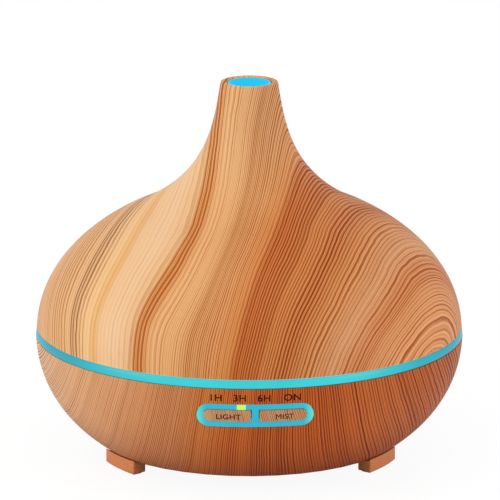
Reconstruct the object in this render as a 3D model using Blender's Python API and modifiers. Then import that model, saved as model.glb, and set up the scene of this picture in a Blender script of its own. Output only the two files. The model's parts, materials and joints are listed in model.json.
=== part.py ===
"""An ultrasonic cool mist humidifier with an onion-shaped, wood-effect body.

It is built as it comes apart on a bench: a lift-off outer cover, an inner cover over the
water tank, a translucent light ring, and a base that holds the ultrasonic transducer, the
fan, the circuit boards, the two push buttons and the power socket.

Frame: metres, +Z up, origin on the floor at the centre of the feet, front towards -Y.
"""

import math

import bmesh
import bpy
from mathutils import Matrix, Vector

# ---- Driving dimensions ----
GAP = 0.0003  # clearance between pieces that touch
BODY_HEIGHT = 0.1465
BODY_RADIUS = 0.0829  # widest point, where the base meets the light ring
WALL = 0.0024  # thickness of the two wood-effect shells
RING_TOP = 0.0500  # the light ring is the seam between cover and base
RING_HEIGHT = 0.0032
BASE_EDGE = 0.0055  # height of the base shell's lower edge
BASE_EDGE_RADIUS = 0.0583
BASE_HANDLES = (0.0822, 0.0243), (0.0677, 0.0116)  # bend the base's outline between its edges
BODY_STEPS = 40  # facets round the large turned pieces
ROUND_STEPS = 20  # facets round the medium ones
SMALL_STEPS = 8  # facets round screws and pins
TANK_STEPS = 32  # facets round the tank and its cover
POST_STEPS = 16  # facets round bosses, posts and tall components
SHARP_ANGLE = 35  # degrees from which an edge is shaded sharp
JOIN_DEPTH = 0.0010  # how far shapes that are joined reach into each other
CUT_REACH = 0.0300  # how high an upright cutter reaches, past the piece it goes through

# ---- Outer cover ----
COVER_BELLY = (
    (0.08255, RING_TOP + GAP),
    (0.0805, 0.0838),
    (0.0416, 0.0976),
    (0.0409, 0.0980),
)
COVER_NECK = (
    (0.0409, 0.0980),
    (0.0188, 0.1100),
    (0.0140, 0.1248),
    (0.0111, BODY_HEIGHT),
)
LINER_WALL = 0.0008
LINER_START, LINER_END = 0.50, 1.0  # share of the neck's curve that the liner covers

# ---- Inner cover ----
INNER_WALL = 0.0015
CHIMNEY_TOP = 0.1140
CHIMNEY_TOP_RADIUS = 0.0095
CHIMNEY_FOOT = 0.0760
CHIMNEY_FOOT_RADIUS = 0.0120
INNER_EDGE_RADIUS = 0.0768
INNER_EDGE_TOP = 0.0560
INNER_LIP_RADIUS = 0.0668
INNER_LIP_DEPTH = 0.0030
INNER_HANDLES = (0.0200, 0.0700), (0.0600, 0.0700)  # bend the dome between chimney and edge

# ---- Water tank ----
TANK_WALL = 0.0018
TANK_FLANGE_RADIUS = 0.0773
TANK_FLANGE_HEIGHT = 0.0015
TANK_RADIUS = 0.0692  # outside of the bowl, at its top
TANK_FLOOR = 0.0210  # underside of the bowl
TANK_FLOOR_RADIUS = 0.0500
TANK_HANDLES = (TANK_RADIUS, 0.0320), (0.0660, TANK_FLOOR)  # bend the bowl between rim and floor
SEAL_INNER, SEAL_OUTER, SEAL_HEIGHT = 0.0742, 0.0768, 0.0007
DUCT_PLACE = Vector((-0.0206, 0.0295, 0.0))  # air duct and fan share this axis
DUCT_BORE, DUCT_WALL, DUCT_TOP = 0.0062, 0.0016, 0.0450
HOOD_WALL, HOOD_BOTTOM, HOOD_TOP = 0.0012, 0.0405, 0.0505
PROBE_PLACE = Vector((0.015, 0.012, 0.0))
PROBE_RADIUS, PROBE_HEAD_RADIUS, PROBE_CROWN_RADIUS = 0.0009, 0.0020, 0.0012
PROBE_HEAD, PROBE_RIM = 0.0011, 0.0007  # heights of the head and of its rim
PROBE_TAIL = 0.0030  # reach below the bowl
BASE_BORE_TOP, CLAMP_BORE_TOP = 0.0150, 0.0208  # where the blind screw holes end

# ---- Light ring ----
RING_INNER_RADIUS = 0.0735
RING_LIP_RADIUS = 0.0796  # locates the cover above and the base shell below
RING_LIP_WALL = 0.0018
RING_LIP_UP, RING_LIP_DOWN = 0.0020, 0.0025
LED_BOARD_INNER, LED_BOARD_OUTER, LED_BOARD_THICK = 0.0730, 0.0793, 0.0010
LED_SIZE = Vector((0.0028, 0.0026, 0.0012))
RING_LED_COUNT = 3
RING_LED_ANGLE = 30  # degrees to the first one
RING_LED_RADIUS = 0.0757

# ---- Transducer ----
DISC_RADIUS, DISC_THICK = 0.0102, 0.0006
GASKET_INNER, GASKET_OUTER, GASKET_HEIGHT = 0.0078, 0.0115, 0.0033
GASKET_GROOVE = 0.0012
RETAINER_THICK, RETAINER_RADIUS, RETAINER_BORE = 0.0015, 0.0135, 0.0065
RETAINER_ARM = Vector((0.042, 0.008, RETAINER_THICK))
RETAINER_SCREW_X = 0.0172
BOSS_RADIUS = 0.0035

# ---- Screws ----
SCREW_HEAD_RADIUS, SCREW_HEAD, SCREW_RADIUS = 0.0023, 0.0013, 0.0011
SCREW_CROWN = 0.8  # share of the head's radius that is left at its crown
SCREW_HOLE = SCREW_RADIUS + GAP
CLAMP_SCREW, BASE_SCREW, FAN_SCREW = 0.0048, 0.0085, 0.0115  # lengths of the shanks
PANEL_SCREW, BOARD_SCREW = 0.0038, 0.0050

# ---- Bottom cover, feet ----
BOTTOM_THICK = 0.0020
BOTTOM_FACE = 0.0053  # underside of the bottom cover
EDGE_SLOPE = 0.65  # the plate's edge follows the slanting lower edge of the shell
BOARD_POST_RADIUS, BOARD_POST_FLOOR = 0.0028, 0.0008
BASE_SCREW_RADIUS = 0.0460
BASE_SCREW_ANGLES = (30, 150, 270)
FOOT_ANGLES = {"rear": 90, "left": 210, "right": 330}
FOOT_OUTER, FOOT_INNER = 0.0596, 0.0535
FOOT_SPREAD = 20.5  # degrees that one foot covers round the axis
FOOT_SLOPE = 0.6  # the foot's outer lip rises under the slanting shell
FOOT_STEPS = 6  # facets along each foot
FOOT_BOTTOM, PAD_DEPTH, PAD_INSET = 0.0005, 0.0012, 0.0009
GRILLE_RADIUS, SLOT_WIDTH, SLOT_PITCH = 0.0135, 0.0020, 0.0040

# ---- Fan ----
FAN_SIDE, FAN_HEIGHT = 0.0300, 0.0100
FAN_BORE, FAN_HUB_RADIUS, FAN_HUB_PLATE = 0.0138, 0.0065, 0.0010
BLADE_COUNT, BLADE_TIP_RADIUS, BLADE_THICK = 7, 0.0125, 0.0008
BLADE_HALF_CHORD, BLADE_PITCH = 0.0052, 38.0
FAN_BEVEL, FAN_STRUT = 0.0006, 0.0022
FAN_SCREW_OFFSET = 0.01225
FAN_SEAL_INNER, FAN_SEAL_OUTER = 0.0105, 0.0140

# ---- Control panel, cut along the Y axis through the front of the base ----
PANEL_Z = 0.0358
PANEL_HALF_LENGTH, PANEL_HALF_HEIGHT = 0.02205, 0.0046
WINDOW_HALF_HEIGHT, WINDOW_END = 0.0027, 0.01985
BAR_HALF_WIDTH = 0.0014  # the frame's upright between the two buttons
PANEL_FLANGE, PANEL_FLANGE_THICK = 0.0013, 0.0012  # behind the shell's opening
PANEL_FLANGE_SHORT = 0.0018  # keeps the flange clear of the screw posts
PANEL_STEP = 0.0002  # between the backs of frame and flange
PANEL_PROUD = 0.0002
PANEL_CUT_FRONT, PANEL_CUT_BACK = -0.1000, -0.0600
PANEL_END_STEPS = 8  # facets round each end
LENS_X, LENS_WIDTH = -0.0053, 0.0034
LENS_FRONT, LENS_BACK = -0.0840, -0.0794
BUTTON_BOARD_FRONT, BUTTON_BOARD_THICK = -0.0716, 0.0012
BUTTON_BOARD_LENGTH, BUTTON_BOARD_HEIGHT = 0.0548, 0.0094
TIMER_LED_RISE = 0.0015  # over the panel's middle
SWITCH_X = 0.0108
SWITCH_SIZE = Vector((0.0060, 0.0022, 0.0060))
PLUNGER_RADIUS, PLUNGER_BORE, PLUNGER_LENGTH = 0.0014, 0.0018, 0.0022
PLUNGER_SEAT = 0.0012  # how deep the plunger sits in its switch
POST_HALF, POST_FRONT = 0.0012, -0.0800  # the square post behind each button
PANEL_SCREW_X = 0.0250
PANEL_POST_RADIUS, PANEL_POST_FRONT, PANEL_BORE_FRONT = 0.0020, -0.0757, -0.0750

# ---- Main board ----
BOARD_SIZE = Vector((0.072, 0.032, 0.0016))
BOARD_PLACE = Vector((0.0, -0.0250, 0.0099))  # middle of its underside
BOARD_SCREW_X = 0.0320
BOARD_TOP = BOARD_PLACE.z + BOARD_SIZE.z + GAP
CHIP_SIZE, CHIP_PLACE = Vector((0.0098, 0.0060, 0.0016)), Vector((-0.0040, -0.0170, BOARD_TOP))
COIL_RADIUS, COIL_WAIST, COIL_HEIGHT, COIL_FLANGE = 0.0050, 0.0042, 0.0070, 0.0015
COIL_PLACE = (-0.0225, -0.0185, BOARD_TOP)
CAN_RADIUS, CAN_HEIGHT, CAN_ROUND, CAN_GROOVE = 0.0040, 0.0078, 0.0004, 0.0006
CAN_PLACE = (-0.0135, -0.0335, BOARD_TOP)
SINK_SIZE, SINK_PLACE = Vector((0.0150, 0.0080, 0.0080)), Vector((0.0235, -0.0180, BOARD_TOP))
SINK_PLATE, SINK_SLOT, SINK_PITCH, SINK_SLOT_COUNT = 0.0030, 0.0018, 0.0032, 4
TRANSISTOR_SIZE = Vector((0.0100, 0.0040, 0.0078))
CONNECTOR_SIZE, CONNECTOR_PLACE = Vector((0.0075, 0.0052, 0.0048)), Vector((0.0080, -0.0370, BOARD_TOP))

# ---- Power socket ----
JACK_Z = 0.0138
JACK_BODY = Vector((0.0126, 0.0104, 0.0112))
JACK_BACK = 0.0470
JACK_NOSE_RADIUS, JACK_NOSE_END = 0.0053, 0.0626
JACK_BORE, JACK_BORE_DEPTH, JACK_PIN_RADIUS = 0.0029, 0.0095, 0.0010
JACK_PIN_SHORT = 0.0008  # how far the pin stays behind the nose
JACK_HOLE_RADIUS, JACK_HOLE_FRONT, JACK_HOLE_BACK = 0.0057, 0.0550, 0.0900

# ---- Leads ----
WIRE_RADIUS = 0.0008
LEAD_END = BOARD_TOP + 0.0009  # height of the leads' ends on the main board

PARTS = "cool_mist_humidifier"
CUTTERS = "cutters"


# ---- Scene, materials and small helpers ----


def clear_scene():
    """Removes every object and makes the two collections."""
    for obj in list(bpy.data.objects):
        bpy.data.objects.remove(obj)
    for name in (PARTS, CUTTERS):
        bpy.context.scene.collection.children.link(bpy.data.collections.new(name))


def make_material(name, colour, roughness, metallic=0.0, transmission=0.0):
    """A Principled material with one colour."""
    mat = bpy.data.materials.new(name)
    mat.use_nodes = True
    shader = mat.node_tree.nodes["Principled BSDF"]
    shader.inputs["Base Color"].default_value = (*colour, 1.0)
    shader.inputs["Roughness"].default_value = roughness
    shader.inputs["Metallic"].default_value = metallic
    shader.inputs["Transmission Weight"].default_value = transmission
    mat.diffuse_color = (*colour, 1.0)
    return mat


def make_materials():
    """Every finish of the object, by name."""
    return {
        "wood_shell": make_material("wood_shell", (0.62, 0.33, 0.13), 0.45),
        "cyan_glow": make_material("cyan_glow", (0.03, 0.55, 0.75), 0.30, 0.0, 0.3),
        "lime_glow": make_material("lime_glow", (0.50, 0.85, 0.15), 0.30),
        "frosted_plastic": make_material("frosted_plastic", (0.80, 0.86, 0.86), 0.40, 0.0, 0.5),
        "rubber": make_material("rubber", (0.05, 0.05, 0.05), 0.80),
        "silicone": make_material("silicone", (0.75, 0.75, 0.72), 0.60),
        "steel": make_material("steel", (0.60, 0.60, 0.60), 0.30, 1.0),
        "brass": make_material("brass", (0.72, 0.55, 0.25), 0.30, 1.0),
        "aluminium": make_material("aluminium", (0.75, 0.75, 0.76), 0.35, 1.0),
        "black_plastic": make_material("black_plastic", (0.03, 0.03, 0.03), 0.45),
        "white_plastic": make_material("white_plastic", (0.80, 0.80, 0.78), 0.45),
        "circuit_board": make_material("circuit_board", (0.03, 0.20, 0.09), 0.40),
        "ferrite": make_material("ferrite", (0.10, 0.10, 0.11), 0.60),
        "foam": make_material("foam", (0.12, 0.12, 0.12), 0.95),
        "wire": make_material("wire", (0.70, 0.08, 0.06), 0.50),
    }


def add_object(name, mesh, mat=None):
    """Links a mesh or curve as a named object. Without a material it is a cutter."""
    obj = bpy.data.objects.new(name, mesh)
    bpy.data.collections[CUTTERS if mat is None else PARTS].objects.link(obj)
    if mat is None:
        obj.hide_render = True
        obj.display_type = "WIRE"
    else:
        mesh.materials.append(mat)
    return obj


def bake(obj):
    """Turns an object's modifiers into its mesh, and shades its round faces smooth."""
    bpy.context.view_layer.update()
    graph = bpy.context.evaluated_depsgraph_get()
    mesh = bpy.data.meshes.new_from_object(obj.evaluated_get(graph))
    obj.modifiers.clear()
    obj.data = mesh
    mesh.shade_smooth()
    mesh.set_sharp_from_angle(angle=math.radians(SHARP_ANGLE))
    return obj


def combine(obj, other, operation):
    """Joins another mesh to obj or cuts it away, and removes the other one."""
    modifier = obj.modifiers.new(operation.lower(), "BOOLEAN")
    modifier.operation = operation
    modifier.object = other
    bake(obj)
    bpy.data.objects.remove(other)
    return obj


def cut(obj, *others):
    """Cuts each of the others out of obj."""
    for other in others:
        combine(obj, other, "DIFFERENCE")
    return obj


def join(obj, *others):
    """Joins each of the others, which overlap it, to obj."""
    for other in others:
        combine(obj, other, "UNION")
    return obj


def keep_inside(obj, other):
    """Keeps only what lies inside the other."""
    return combine(obj, other, "INTERSECT")


def box(name, low, high, mat=None):
    """A box between two corners."""
    low, high = Vector(low), Vector(high)
    mesh = bpy.data.meshes.new(name)
    shape = bmesh.new()
    bmesh.ops.create_cube(shape, size=1.0)
    bmesh.ops.scale(shape, vec=high - low, verts=shape.verts)
    bmesh.ops.translate(shape, vec=(low + high) / 2, verts=shape.verts)
    shape.to_mesh(mesh)
    shape.free()
    return add_object(name, mesh, mat)


def block(name, size, place, mat=None):
    """A box standing on place, which is the middle of its underside."""
    half = Vector((size.x / 2, size.y / 2, 0))
    return box(name, place - half, place + half + Vector((0, 0, size.z)), mat)


def cylinder(name, radius, start, end, mat=None, steps=ROUND_STEPS, end_radius=None):
    """A cylinder between two points on its axis, or a cone where its end has its own radius."""
    start, end = Vector(start), Vector(end)
    mesh = bpy.data.meshes.new(name)
    shape = bmesh.new()
    bmesh.ops.create_cone(
        shape,
        cap_ends=True,
        segments=steps,
        radius1=radius,
        radius2=end_radius or radius,
        depth=(end - start).length,
    )
    turn = (end - start).to_track_quat("Z", "Y").to_matrix().to_4x4()
    bmesh.ops.transform(shape, matrix=Matrix.Translation((start + end) / 2) @ turn, verts=shape.verts)
    shape.to_mesh(mesh)
    shape.free()
    obj = add_object(name, mesh, mat)
    return bake(obj) if mat else obj


def turned(name, section, mat=None, steps=BODY_STEPS, closed=True, place=(0, 0, 0)):
    """A section of (radius, height) points turned round the vertical axis through place.

    A closed section is a ring. An open one starts and ends on the axis, and is solid. Both
    run down the outer side first.
    """
    mesh = bpy.data.meshes.new(name)
    points = [(radius, 0.0, height) for radius, height in section]
    edges = [(i, i + 1) for i in range(len(points) - 1)]
    if closed:
        edges.append((len(points) - 1, 0))
    mesh.from_pydata(points, edges, [])
    obj = add_object(name, mesh, mat)
    screw = obj.modifiers.new("turn", "SCREW")
    screw.steps = screw.render_steps = steps
    screw.use_merge_vertices = True
    screw.merge_threshold = 1e-6
    bake(obj)
    obj.data.transform(Matrix.Translation(place))
    return obj


def disc(name, profile, mat=None, steps=SMALL_STEPS, place=(0, 0, 0)):
    """A solid turned piece: profile runs from its top edge to its bottom edge."""
    return turned(
        name,
        [(0.0, profile[0][1]), *profile, (0.0, profile[-1][1])],
        mat,
        steps,
        closed=False,
        place=place,
    )


def slab(name, outline, low, high, mat=None):
    """A flat outline of (x, y) points, filled and extruded from low to high."""
    curve = bpy.data.curves.new(name, "CURVE")
    curve.dimensions = "2D"
    curve.fill_mode = "BOTH"
    curve.extrude = (high - low) / 2
    spline = curve.splines.new("POLY")
    spline.points.add(len(outline) - 1)
    spline.use_cyclic_u = True
    for target, point in zip(spline.points, outline):
        target.co = (*point, 0.0, 1.0)
    flat = add_object(name + "_outline", curve)
    flat.location.z = (low + high) / 2
    bpy.context.view_layer.update()
    graph = bpy.context.evaluated_depsgraph_get()
    mesh = bpy.data.meshes.new_from_object(flat.evaluated_get(graph))
    shape = bmesh.new()
    shape.from_mesh(mesh)
    bmesh.ops.remove_doubles(shape, verts=shape.verts, dist=1e-6)
    bmesh.ops.transform(shape, matrix=flat.matrix_world, verts=shape.verts)
    bmesh.ops.recalc_face_normals(shape, faces=shape.faces)
    shape.to_mesh(mesh)
    shape.free()
    bpy.data.objects.remove(flat)
    return add_object(name, mesh, mat)


def bezier(points, count):
    """Points along a cubic curve given by its two ends and their handles."""
    a, b, c, d = (Vector(p) for p in points)
    found = []
    for i in range(count + 1):
        t = i / count
        s = 1 - t
        found.append(s**3 * a + 3 * s * s * t * b + 3 * s * t * t * c + t**3 * d)
    return found


def offset(points, distance):
    """A line of (radius, height) points moved to its left by distance."""
    moved = []
    for i, point in enumerate(points):
        along = points[min(i + 1, len(points) - 1)] - points[max(i - 1, 0)]
        moved.append(point + Vector((-along.y, along.x)).normalized() * distance)
    return moved


def polar(radius, degrees, height=0.0):
    """The point at this radius and angle round the vertical axis."""
    angle = math.radians(degrees)
    return Vector((radius * math.cos(angle), radius * math.sin(angle), height))


def at(place, height):
    """The point at this height on the vertical axis through place."""
    return Vector((place.x, place.y, height))


def bore(radius, place, low=0.0, high=CUT_REACH, steps=SMALL_STEPS):
    """A cutter for an upright round hole through place."""
    return cylinder("bore", radius, at(place, low), at(place, high), None, steps)


def post(name, radius, place, low, high):
    """An upright round post on place, to be joined to a larger piece."""
    return cylinder(name, radius, at(place, low), at(place, high), None, POST_STEPS)


def screw(name, place, length, mats, down=False):
    """A pan-head screw. place is under its head, and the shank runs up, or down if asked."""
    side = -1.0 if down else 1.0
    profile = [
        (SCREW_RADIUS, side * length),
        (SCREW_RADIUS, 0.0),
        (SCREW_HEAD_RADIUS, 0.0),
        (SCREW_HEAD_RADIUS * SCREW_CROWN, -side * SCREW_HEAD),
    ]
    if down:
        profile.reverse()
    return disc(name, profile, mats["steel"], place=place)


def wire(name, route, mats, radius=WIRE_RADIUS):
    """A lead that follows a smooth curve through its route."""
    curve = bpy.data.curves.new(name, "CURVE")
    curve.dimensions = "3D"
    curve.bevel_depth = radius
    curve.bevel_resolution = 1
    curve.use_fill_caps = True
    points = smooth_route([Vector(p) for p in route])
    spline = curve.splines.new("POLY")
    spline.points.add(len(points) - 1)
    for target, point in zip(spline.points, points):
        target.co = (*point, 1.0)
    return add_object(name, curve, mats["wire"])


def smooth_route(points, per_span=2):
    """Points of a Catmull-Rom curve through the given ones."""
    ends = [2 * points[0] - points[1], *points, 2 * points[-1] - points[-2]]
    found = []
    for a, b, c, d in zip(ends, ends[1:], ends[2:], ends[3:]):
        for i in range(per_span):
            t = i / per_span
            bend = (2 * a - 5 * b + 4 * c - d) * t**2
            twist = (3 * b - a - 3 * c + d) * t**3
            found.append(0.5 * (2 * b + (c - a) * t + bend + twist))
    return [*found, points[-1]]


# ---- Covers ----


def cover_outline():
    """The cover's outside, from the neck's rim down to the light ring."""
    line = bezier(COVER_BELLY, 8)[:-1] + bezier(COVER_NECK, 7)
    return line[::-1]


def make_outer_cover(mats):
    """The lift-off wood-effect cover, and the translucent liner inside its neck."""
    outside = cover_outline()
    inside = offset(outside, -WALL)
    inside[-1].y = outside[-1].y
    turned("outer_cover", outside + inside[::-1], mats["wood_shell"])

    neck = bezier(COVER_NECK, 40)[::-1]
    count = len(neck) - 1
    first, last = round((1 - LINER_END) * count), round((1 - LINER_START) * count)
    liner = offset(neck, -(WALL + GAP))[first : last + 1 : 4]
    inner = offset(liner, -LINER_WALL)
    turned("nozzle_liner", liner + inner[::-1], mats["cyan_glow"], steps=ROUND_STEPS)


def make_inner_cover(mats):
    """The translucent splash cover over the tank, with its mist chimney."""
    edge_bottom = tank_flange_top() + GAP
    chimney_foot = (CHIMNEY_FOOT_RADIUS, CHIMNEY_FOOT)
    dome = bezier((chimney_foot, *INNER_HANDLES, (INNER_EDGE_RADIUS, INNER_EDGE_TOP)), 6)
    outside = [Vector((CHIMNEY_TOP_RADIUS, CHIMNEY_TOP)), *dome]
    inside = offset(outside, -INNER_WALL)
    inside[0].y = CHIMNEY_TOP
    lip_inner = INNER_LIP_RADIUS - INNER_WALL
    lip_bottom = edge_bottom - INNER_LIP_DEPTH
    section = [
        *outside,
        Vector((INNER_EDGE_RADIUS, edge_bottom)),
        Vector((INNER_LIP_RADIUS, edge_bottom)),
        Vector((INNER_LIP_RADIUS, lip_bottom)),
        Vector((lip_inner, lip_bottom)),
        Vector((lip_inner, edge_bottom + INNER_WALL)),
        *[p for p in inside[::-1] if p.x < lip_inner - INNER_WALL],
    ]
    turned("inner_cover", section, mats["frosted_plastic"], steps=TANK_STEPS)


# ---- Light ring ----


def base_outline():
    """The base shell's outside, from the light ring down to its lower edge."""
    top = (BODY_RADIUS, RING_TOP - RING_HEIGHT - GAP)
    return bezier((top, *BASE_HANDLES, (BASE_EDGE_RADIUS, BASE_EDGE)), 7)


def make_light_ring(mats):
    """The glowing ring between cover and base, with its LED board and LEDs."""
    bottom = RING_TOP - RING_HEIGHT
    lip_inner = RING_LIP_RADIUS - RING_LIP_WALL
    section = [
        (lip_inner, RING_TOP + RING_LIP_UP),
        (RING_LIP_RADIUS, RING_TOP + RING_LIP_UP),
        (RING_LIP_RADIUS, RING_TOP),
        (COVER_BELLY[0][0], RING_TOP),
        (BODY_RADIUS, bottom),
        (RING_LIP_RADIUS, bottom),
        (RING_LIP_RADIUS, bottom - RING_LIP_DOWN),
        (lip_inner, bottom - RING_LIP_DOWN),
        (lip_inner, bottom),
        (RING_INNER_RADIUS, bottom),
        (RING_INNER_RADIUS, RING_TOP),
        (lip_inner, RING_TOP),
    ]
    turned("light_ring", section, mats["cyan_glow"])

    board_top = bottom - RING_LIP_DOWN - GAP
    board_bottom = board_top - LED_BOARD_THICK
    section = [
        (LED_BOARD_OUTER, board_top),
        (LED_BOARD_OUTER, board_bottom),
        (LED_BOARD_INNER, board_bottom),
        (LED_BOARD_INNER, board_top),
    ]
    turned("ring_led_board", section, mats["circuit_board"], steps=TANK_STEPS)
    for i in range(RING_LED_COUNT):
        angle = RING_LED_ANGLE + i * 360 / RING_LED_COUNT
        led = block(f"ring_led_{i + 1}", LED_SIZE, Vector((0, 0, 0)), mats["white_plastic"])
        led.location = polar(RING_LED_RADIUS, angle, board_top + GAP)
        led.rotation_euler.z = math.radians(angle)


# ---- Water tank and transducer ----


def seal_bottom():
    """Height of the tank seal's underside."""
    return RING_TOP + GAP


def tank_flange_bottom():
    """Height of the tank flange's underside."""
    return seal_bottom() + SEAL_HEIGHT + GAP


def tank_flange_top():
    """Height of the tank's rim."""
    return tank_flange_bottom() + TANK_FLANGE_HEIGHT


def base_screw_places():
    """The three axes on which the base is screwed together."""
    return [polar(BASE_SCREW_RADIUS, angle) for angle in BASE_SCREW_ANGLES]


def clamp_screw_places():
    """The two axes of the screws that hold the transducer's clamp."""
    return Vector((-RETAINER_SCREW_X, 0, 0)), Vector((RETAINER_SCREW_X, 0, 0))


def make_tank(mats):
    """The water tank with its air duct and screw bosses, its seal, hood and probe."""
    flange_bottom, flange_top = tank_flange_bottom(), tank_flange_top()
    rim = (TANK_RADIUS, flange_bottom)
    bowl = bezier((rim, *TANK_HANDLES, (TANK_FLOOR_RADIUS, TANK_FLOOR)), 6)
    inside = offset(bowl, -TANK_WALL)
    inside[0].y = flange_top
    hole = GASKET_INNER + GAP
    floor_top = TANK_FLOOR + TANK_WALL
    section = [
        Vector((TANK_FLANGE_RADIUS, flange_top)),
        Vector((TANK_FLANGE_RADIUS, flange_bottom)),
        *bowl,
        Vector((hole, TANK_FLOOR)),
        Vector((hole, floor_top)),
        *inside[::-1],
    ]
    tank = turned("water_tank", section, mats["frosted_plastic"], steps=TANK_STEPS)

    duct_outer = DUCT_BORE + DUCT_WALL
    middle = TANK_FLOOR + TANK_WALL / 2
    shapes = [cylinder("duct", duct_outer, at(DUCT_PLACE, middle), at(DUCT_PLACE, DUCT_TOP))]
    for place in base_screw_places():
        shapes.append(post("boss", BOSS_RADIUS, place, bottom_top() + GAP, middle))
    boss_bottom = TANK_FLOOR - GASKET_HEIGHT - 2 * GAP
    for place in clamp_screw_places():
        shapes.append(post("boss", BOSS_RADIUS, place, boss_bottom, middle))
    join(tank, *shapes)

    holes = [bore(DUCT_BORE, DUCT_PLACE, high=DUCT_TOP + JOIN_DEPTH, steps=ROUND_STEPS)]
    holes.append(bore(PROBE_RADIUS + GAP, PROBE_PLACE))
    holes += [bore(SCREW_HOLE, place, high=BASE_BORE_TOP) for place in base_screw_places()]
    holes += [bore(SCREW_HOLE, place, high=CLAMP_BORE_TOP) for place in clamp_screw_places()]
    cut(tank, *holes)

    low, high = seal_bottom(), seal_bottom() + SEAL_HEIGHT
    section = [(SEAL_OUTER, high), (SEAL_OUTER, low), (SEAL_INNER, low), (SEAL_INNER, high)]
    turned("tank_seal", section, mats["silicone"], steps=TANK_STEPS)

    make_hood(mats, duct_outer + GAP)
    floor = floor_top + GAP
    profile = [
        (PROBE_CROWN_RADIUS, floor + PROBE_HEAD),
        (PROBE_HEAD_RADIUS, floor + PROBE_RIM),
        (PROBE_HEAD_RADIUS, floor),
        (PROBE_RADIUS, floor),
        (PROBE_RADIUS, TANK_FLOOR - PROBE_TAIL),
    ]
    disc("water_probe", profile, mats["steel"], place=PROBE_PLACE)


def make_hood(mats, bore):
    """The cap on the air duct, which turns the air towards the middle of the tank."""
    outer = bore + HOOD_WALL
    section = [
        (0.0, HOOD_TOP),
        (outer - HOOD_WALL, HOOD_TOP),
        (outer, HOOD_TOP - HOOD_WALL),
        (outer, HOOD_BOTTOM),
        (bore, HOOD_BOTTOM),
        (bore, HOOD_TOP - HOOD_WALL),
        (0.0, HOOD_TOP - HOOD_WALL),
    ]
    mat = mats["frosted_plastic"]
    hood = turned("air_duct_hood", section, mat, ROUND_STEPS, closed=False, place=DUCT_PLACE)
    low, high = DUCT_TOP + GAP, HOOD_TOP - 2 * HOOD_WALL
    window = box("window", (0, -DUCT_BORE, low), (2 * outer, DUCT_BORE, high))
    inward = math.atan2(-DUCT_PLACE.y, -DUCT_PLACE.x)
    window.data.transform(Matrix.Translation(DUCT_PLACE) @ Matrix.Rotation(inward, 4, "Z"))
    cut(hood, window)


def make_transducer(mats):
    """The ultrasonic disc in its rubber gasket, clamped up under the tank's floor."""
    top = TANK_FLOOR - GAP
    bottom = top - GASKET_HEIGHT
    groove = GASKET_GROOVE / 2
    middle = (top + bottom) / 2
    section = [
        (GASKET_OUTER, top),
        (GASKET_OUTER, bottom),
        (GASKET_INNER, bottom),
        (GASKET_INNER, middle - groove),
        (DISC_RADIUS + GAP, middle - groove),
        (DISC_RADIUS + GAP, middle + groove),
        (GASKET_INNER, middle + groove),
        (GASKET_INNER, top),
    ]
    turned("transducer_gasket", section, mats["rubber"], steps=ROUND_STEPS)
    half = DISC_THICK / 2
    profile = [(DISC_RADIUS, middle + half), (DISC_RADIUS, middle - half)]
    disc("transducer_disc", profile, mats["brass"], steps=ROUND_STEPS)

    plate_top = bottom - GAP - GAP
    plate_bottom = plate_top - RETAINER_THICK
    start, end = (0, 0, plate_bottom), (0, 0, plate_top)
    plate = cylinder("transducer_clamp", RETAINER_RADIUS, start, end, mats["aluminium"])
    join(plate, block("arm", RETAINER_ARM, Vector(start)))
    cut(plate, bore(RETAINER_BORE, Vector(start), steps=ROUND_STEPS))
    for side, place in zip(("left", "right"), clamp_screw_places()):
        cut(plate, bore(SCREW_HOLE, place))
        screw(f"clamp_screw_{side}", at(place, plate_bottom - GAP), CLAMP_SCREW, mats)


# ---- Base ----


def bottom_top():
    """Height of the bottom cover's upper face."""
    return BOTTOM_FACE + BOTTOM_THICK


def make_base_shell(mats):
    """The lower wood-effect shell, open for the control panel and the power socket."""
    outside = base_outline()
    inside = offset(outside, -WALL)
    inside[0].y = outside[0].y
    shell = turned("base_shell", outside + inside[::-1], mats["wood_shell"])
    for x in (-PANEL_SCREW_X, PANEL_SCREW_X):
        start, end = (x, PANEL_POST_FRONT, PANEL_Z), (x, BUTTON_BOARD_FRONT - GAP, PANEL_Z)
        join(shell, cylinder("post", PANEL_POST_RADIUS, start, end, None, POST_STEPS))
        cut(shell, panel_bore(SCREW_HOLE, x, PANEL_BORE_FRONT))
    cut(shell, pill("opening", PANEL_HALF_LENGTH + GAP / 2, PANEL_HALF_HEIGHT + GAP / 2))
    start, end = (0, JACK_HOLE_FRONT, JACK_Z), (0, JACK_HOLE_BACK, JACK_Z)
    cut(shell, cylinder("hole", JACK_HOLE_RADIUS, start, end))


def make_bottom_cover(mats):
    """The base plate with its air grille and board posts, and the screws that hold it."""
    low, high = BOTTOM_FACE, bottom_top()
    outer = BASE_EDGE_RADIUS - GAP
    top_radius = outer - EDGE_SLOPE * BOTTOM_THICK
    start, end = (0, 0, low), (0, 0, high)
    plate = cylinder("bottom_cover", outer, start, end, mats["black_plastic"], BODY_STEPS, top_radius)

    for place in board_screw_places():
        join(plate, post("post", BOARD_POST_RADIUS, place, high - JOIN_DEPTH, BOARD_PLACE.z - GAP))
        cut(plate, bore(SCREW_HOLE, place, low=low + BOARD_POST_FLOOR))
    for place in (*base_screw_places(), *fan_screw_places()):
        cut(plate, bore(SCREW_HOLE, place))
    slots = int(GRILLE_RADIUS / SLOT_PITCH)
    for i in range(-slots, slots + 1):
        x = i * SLOT_PITCH
        half = math.sqrt(GRILLE_RADIUS**2 - x**2)
        corner = Vector((SLOT_WIDTH / 2, half, 0))
        middle = DUCT_PLACE + Vector((x, 0, 0))
        cut(plate, box("slot", middle - corner, middle + corner + Vector((0, 0, CUT_REACH))))

    for i, place in enumerate(base_screw_places()):
        screw(f"base_screw_{i + 1}", at(place, low - GAP), BASE_SCREW, mats)


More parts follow.
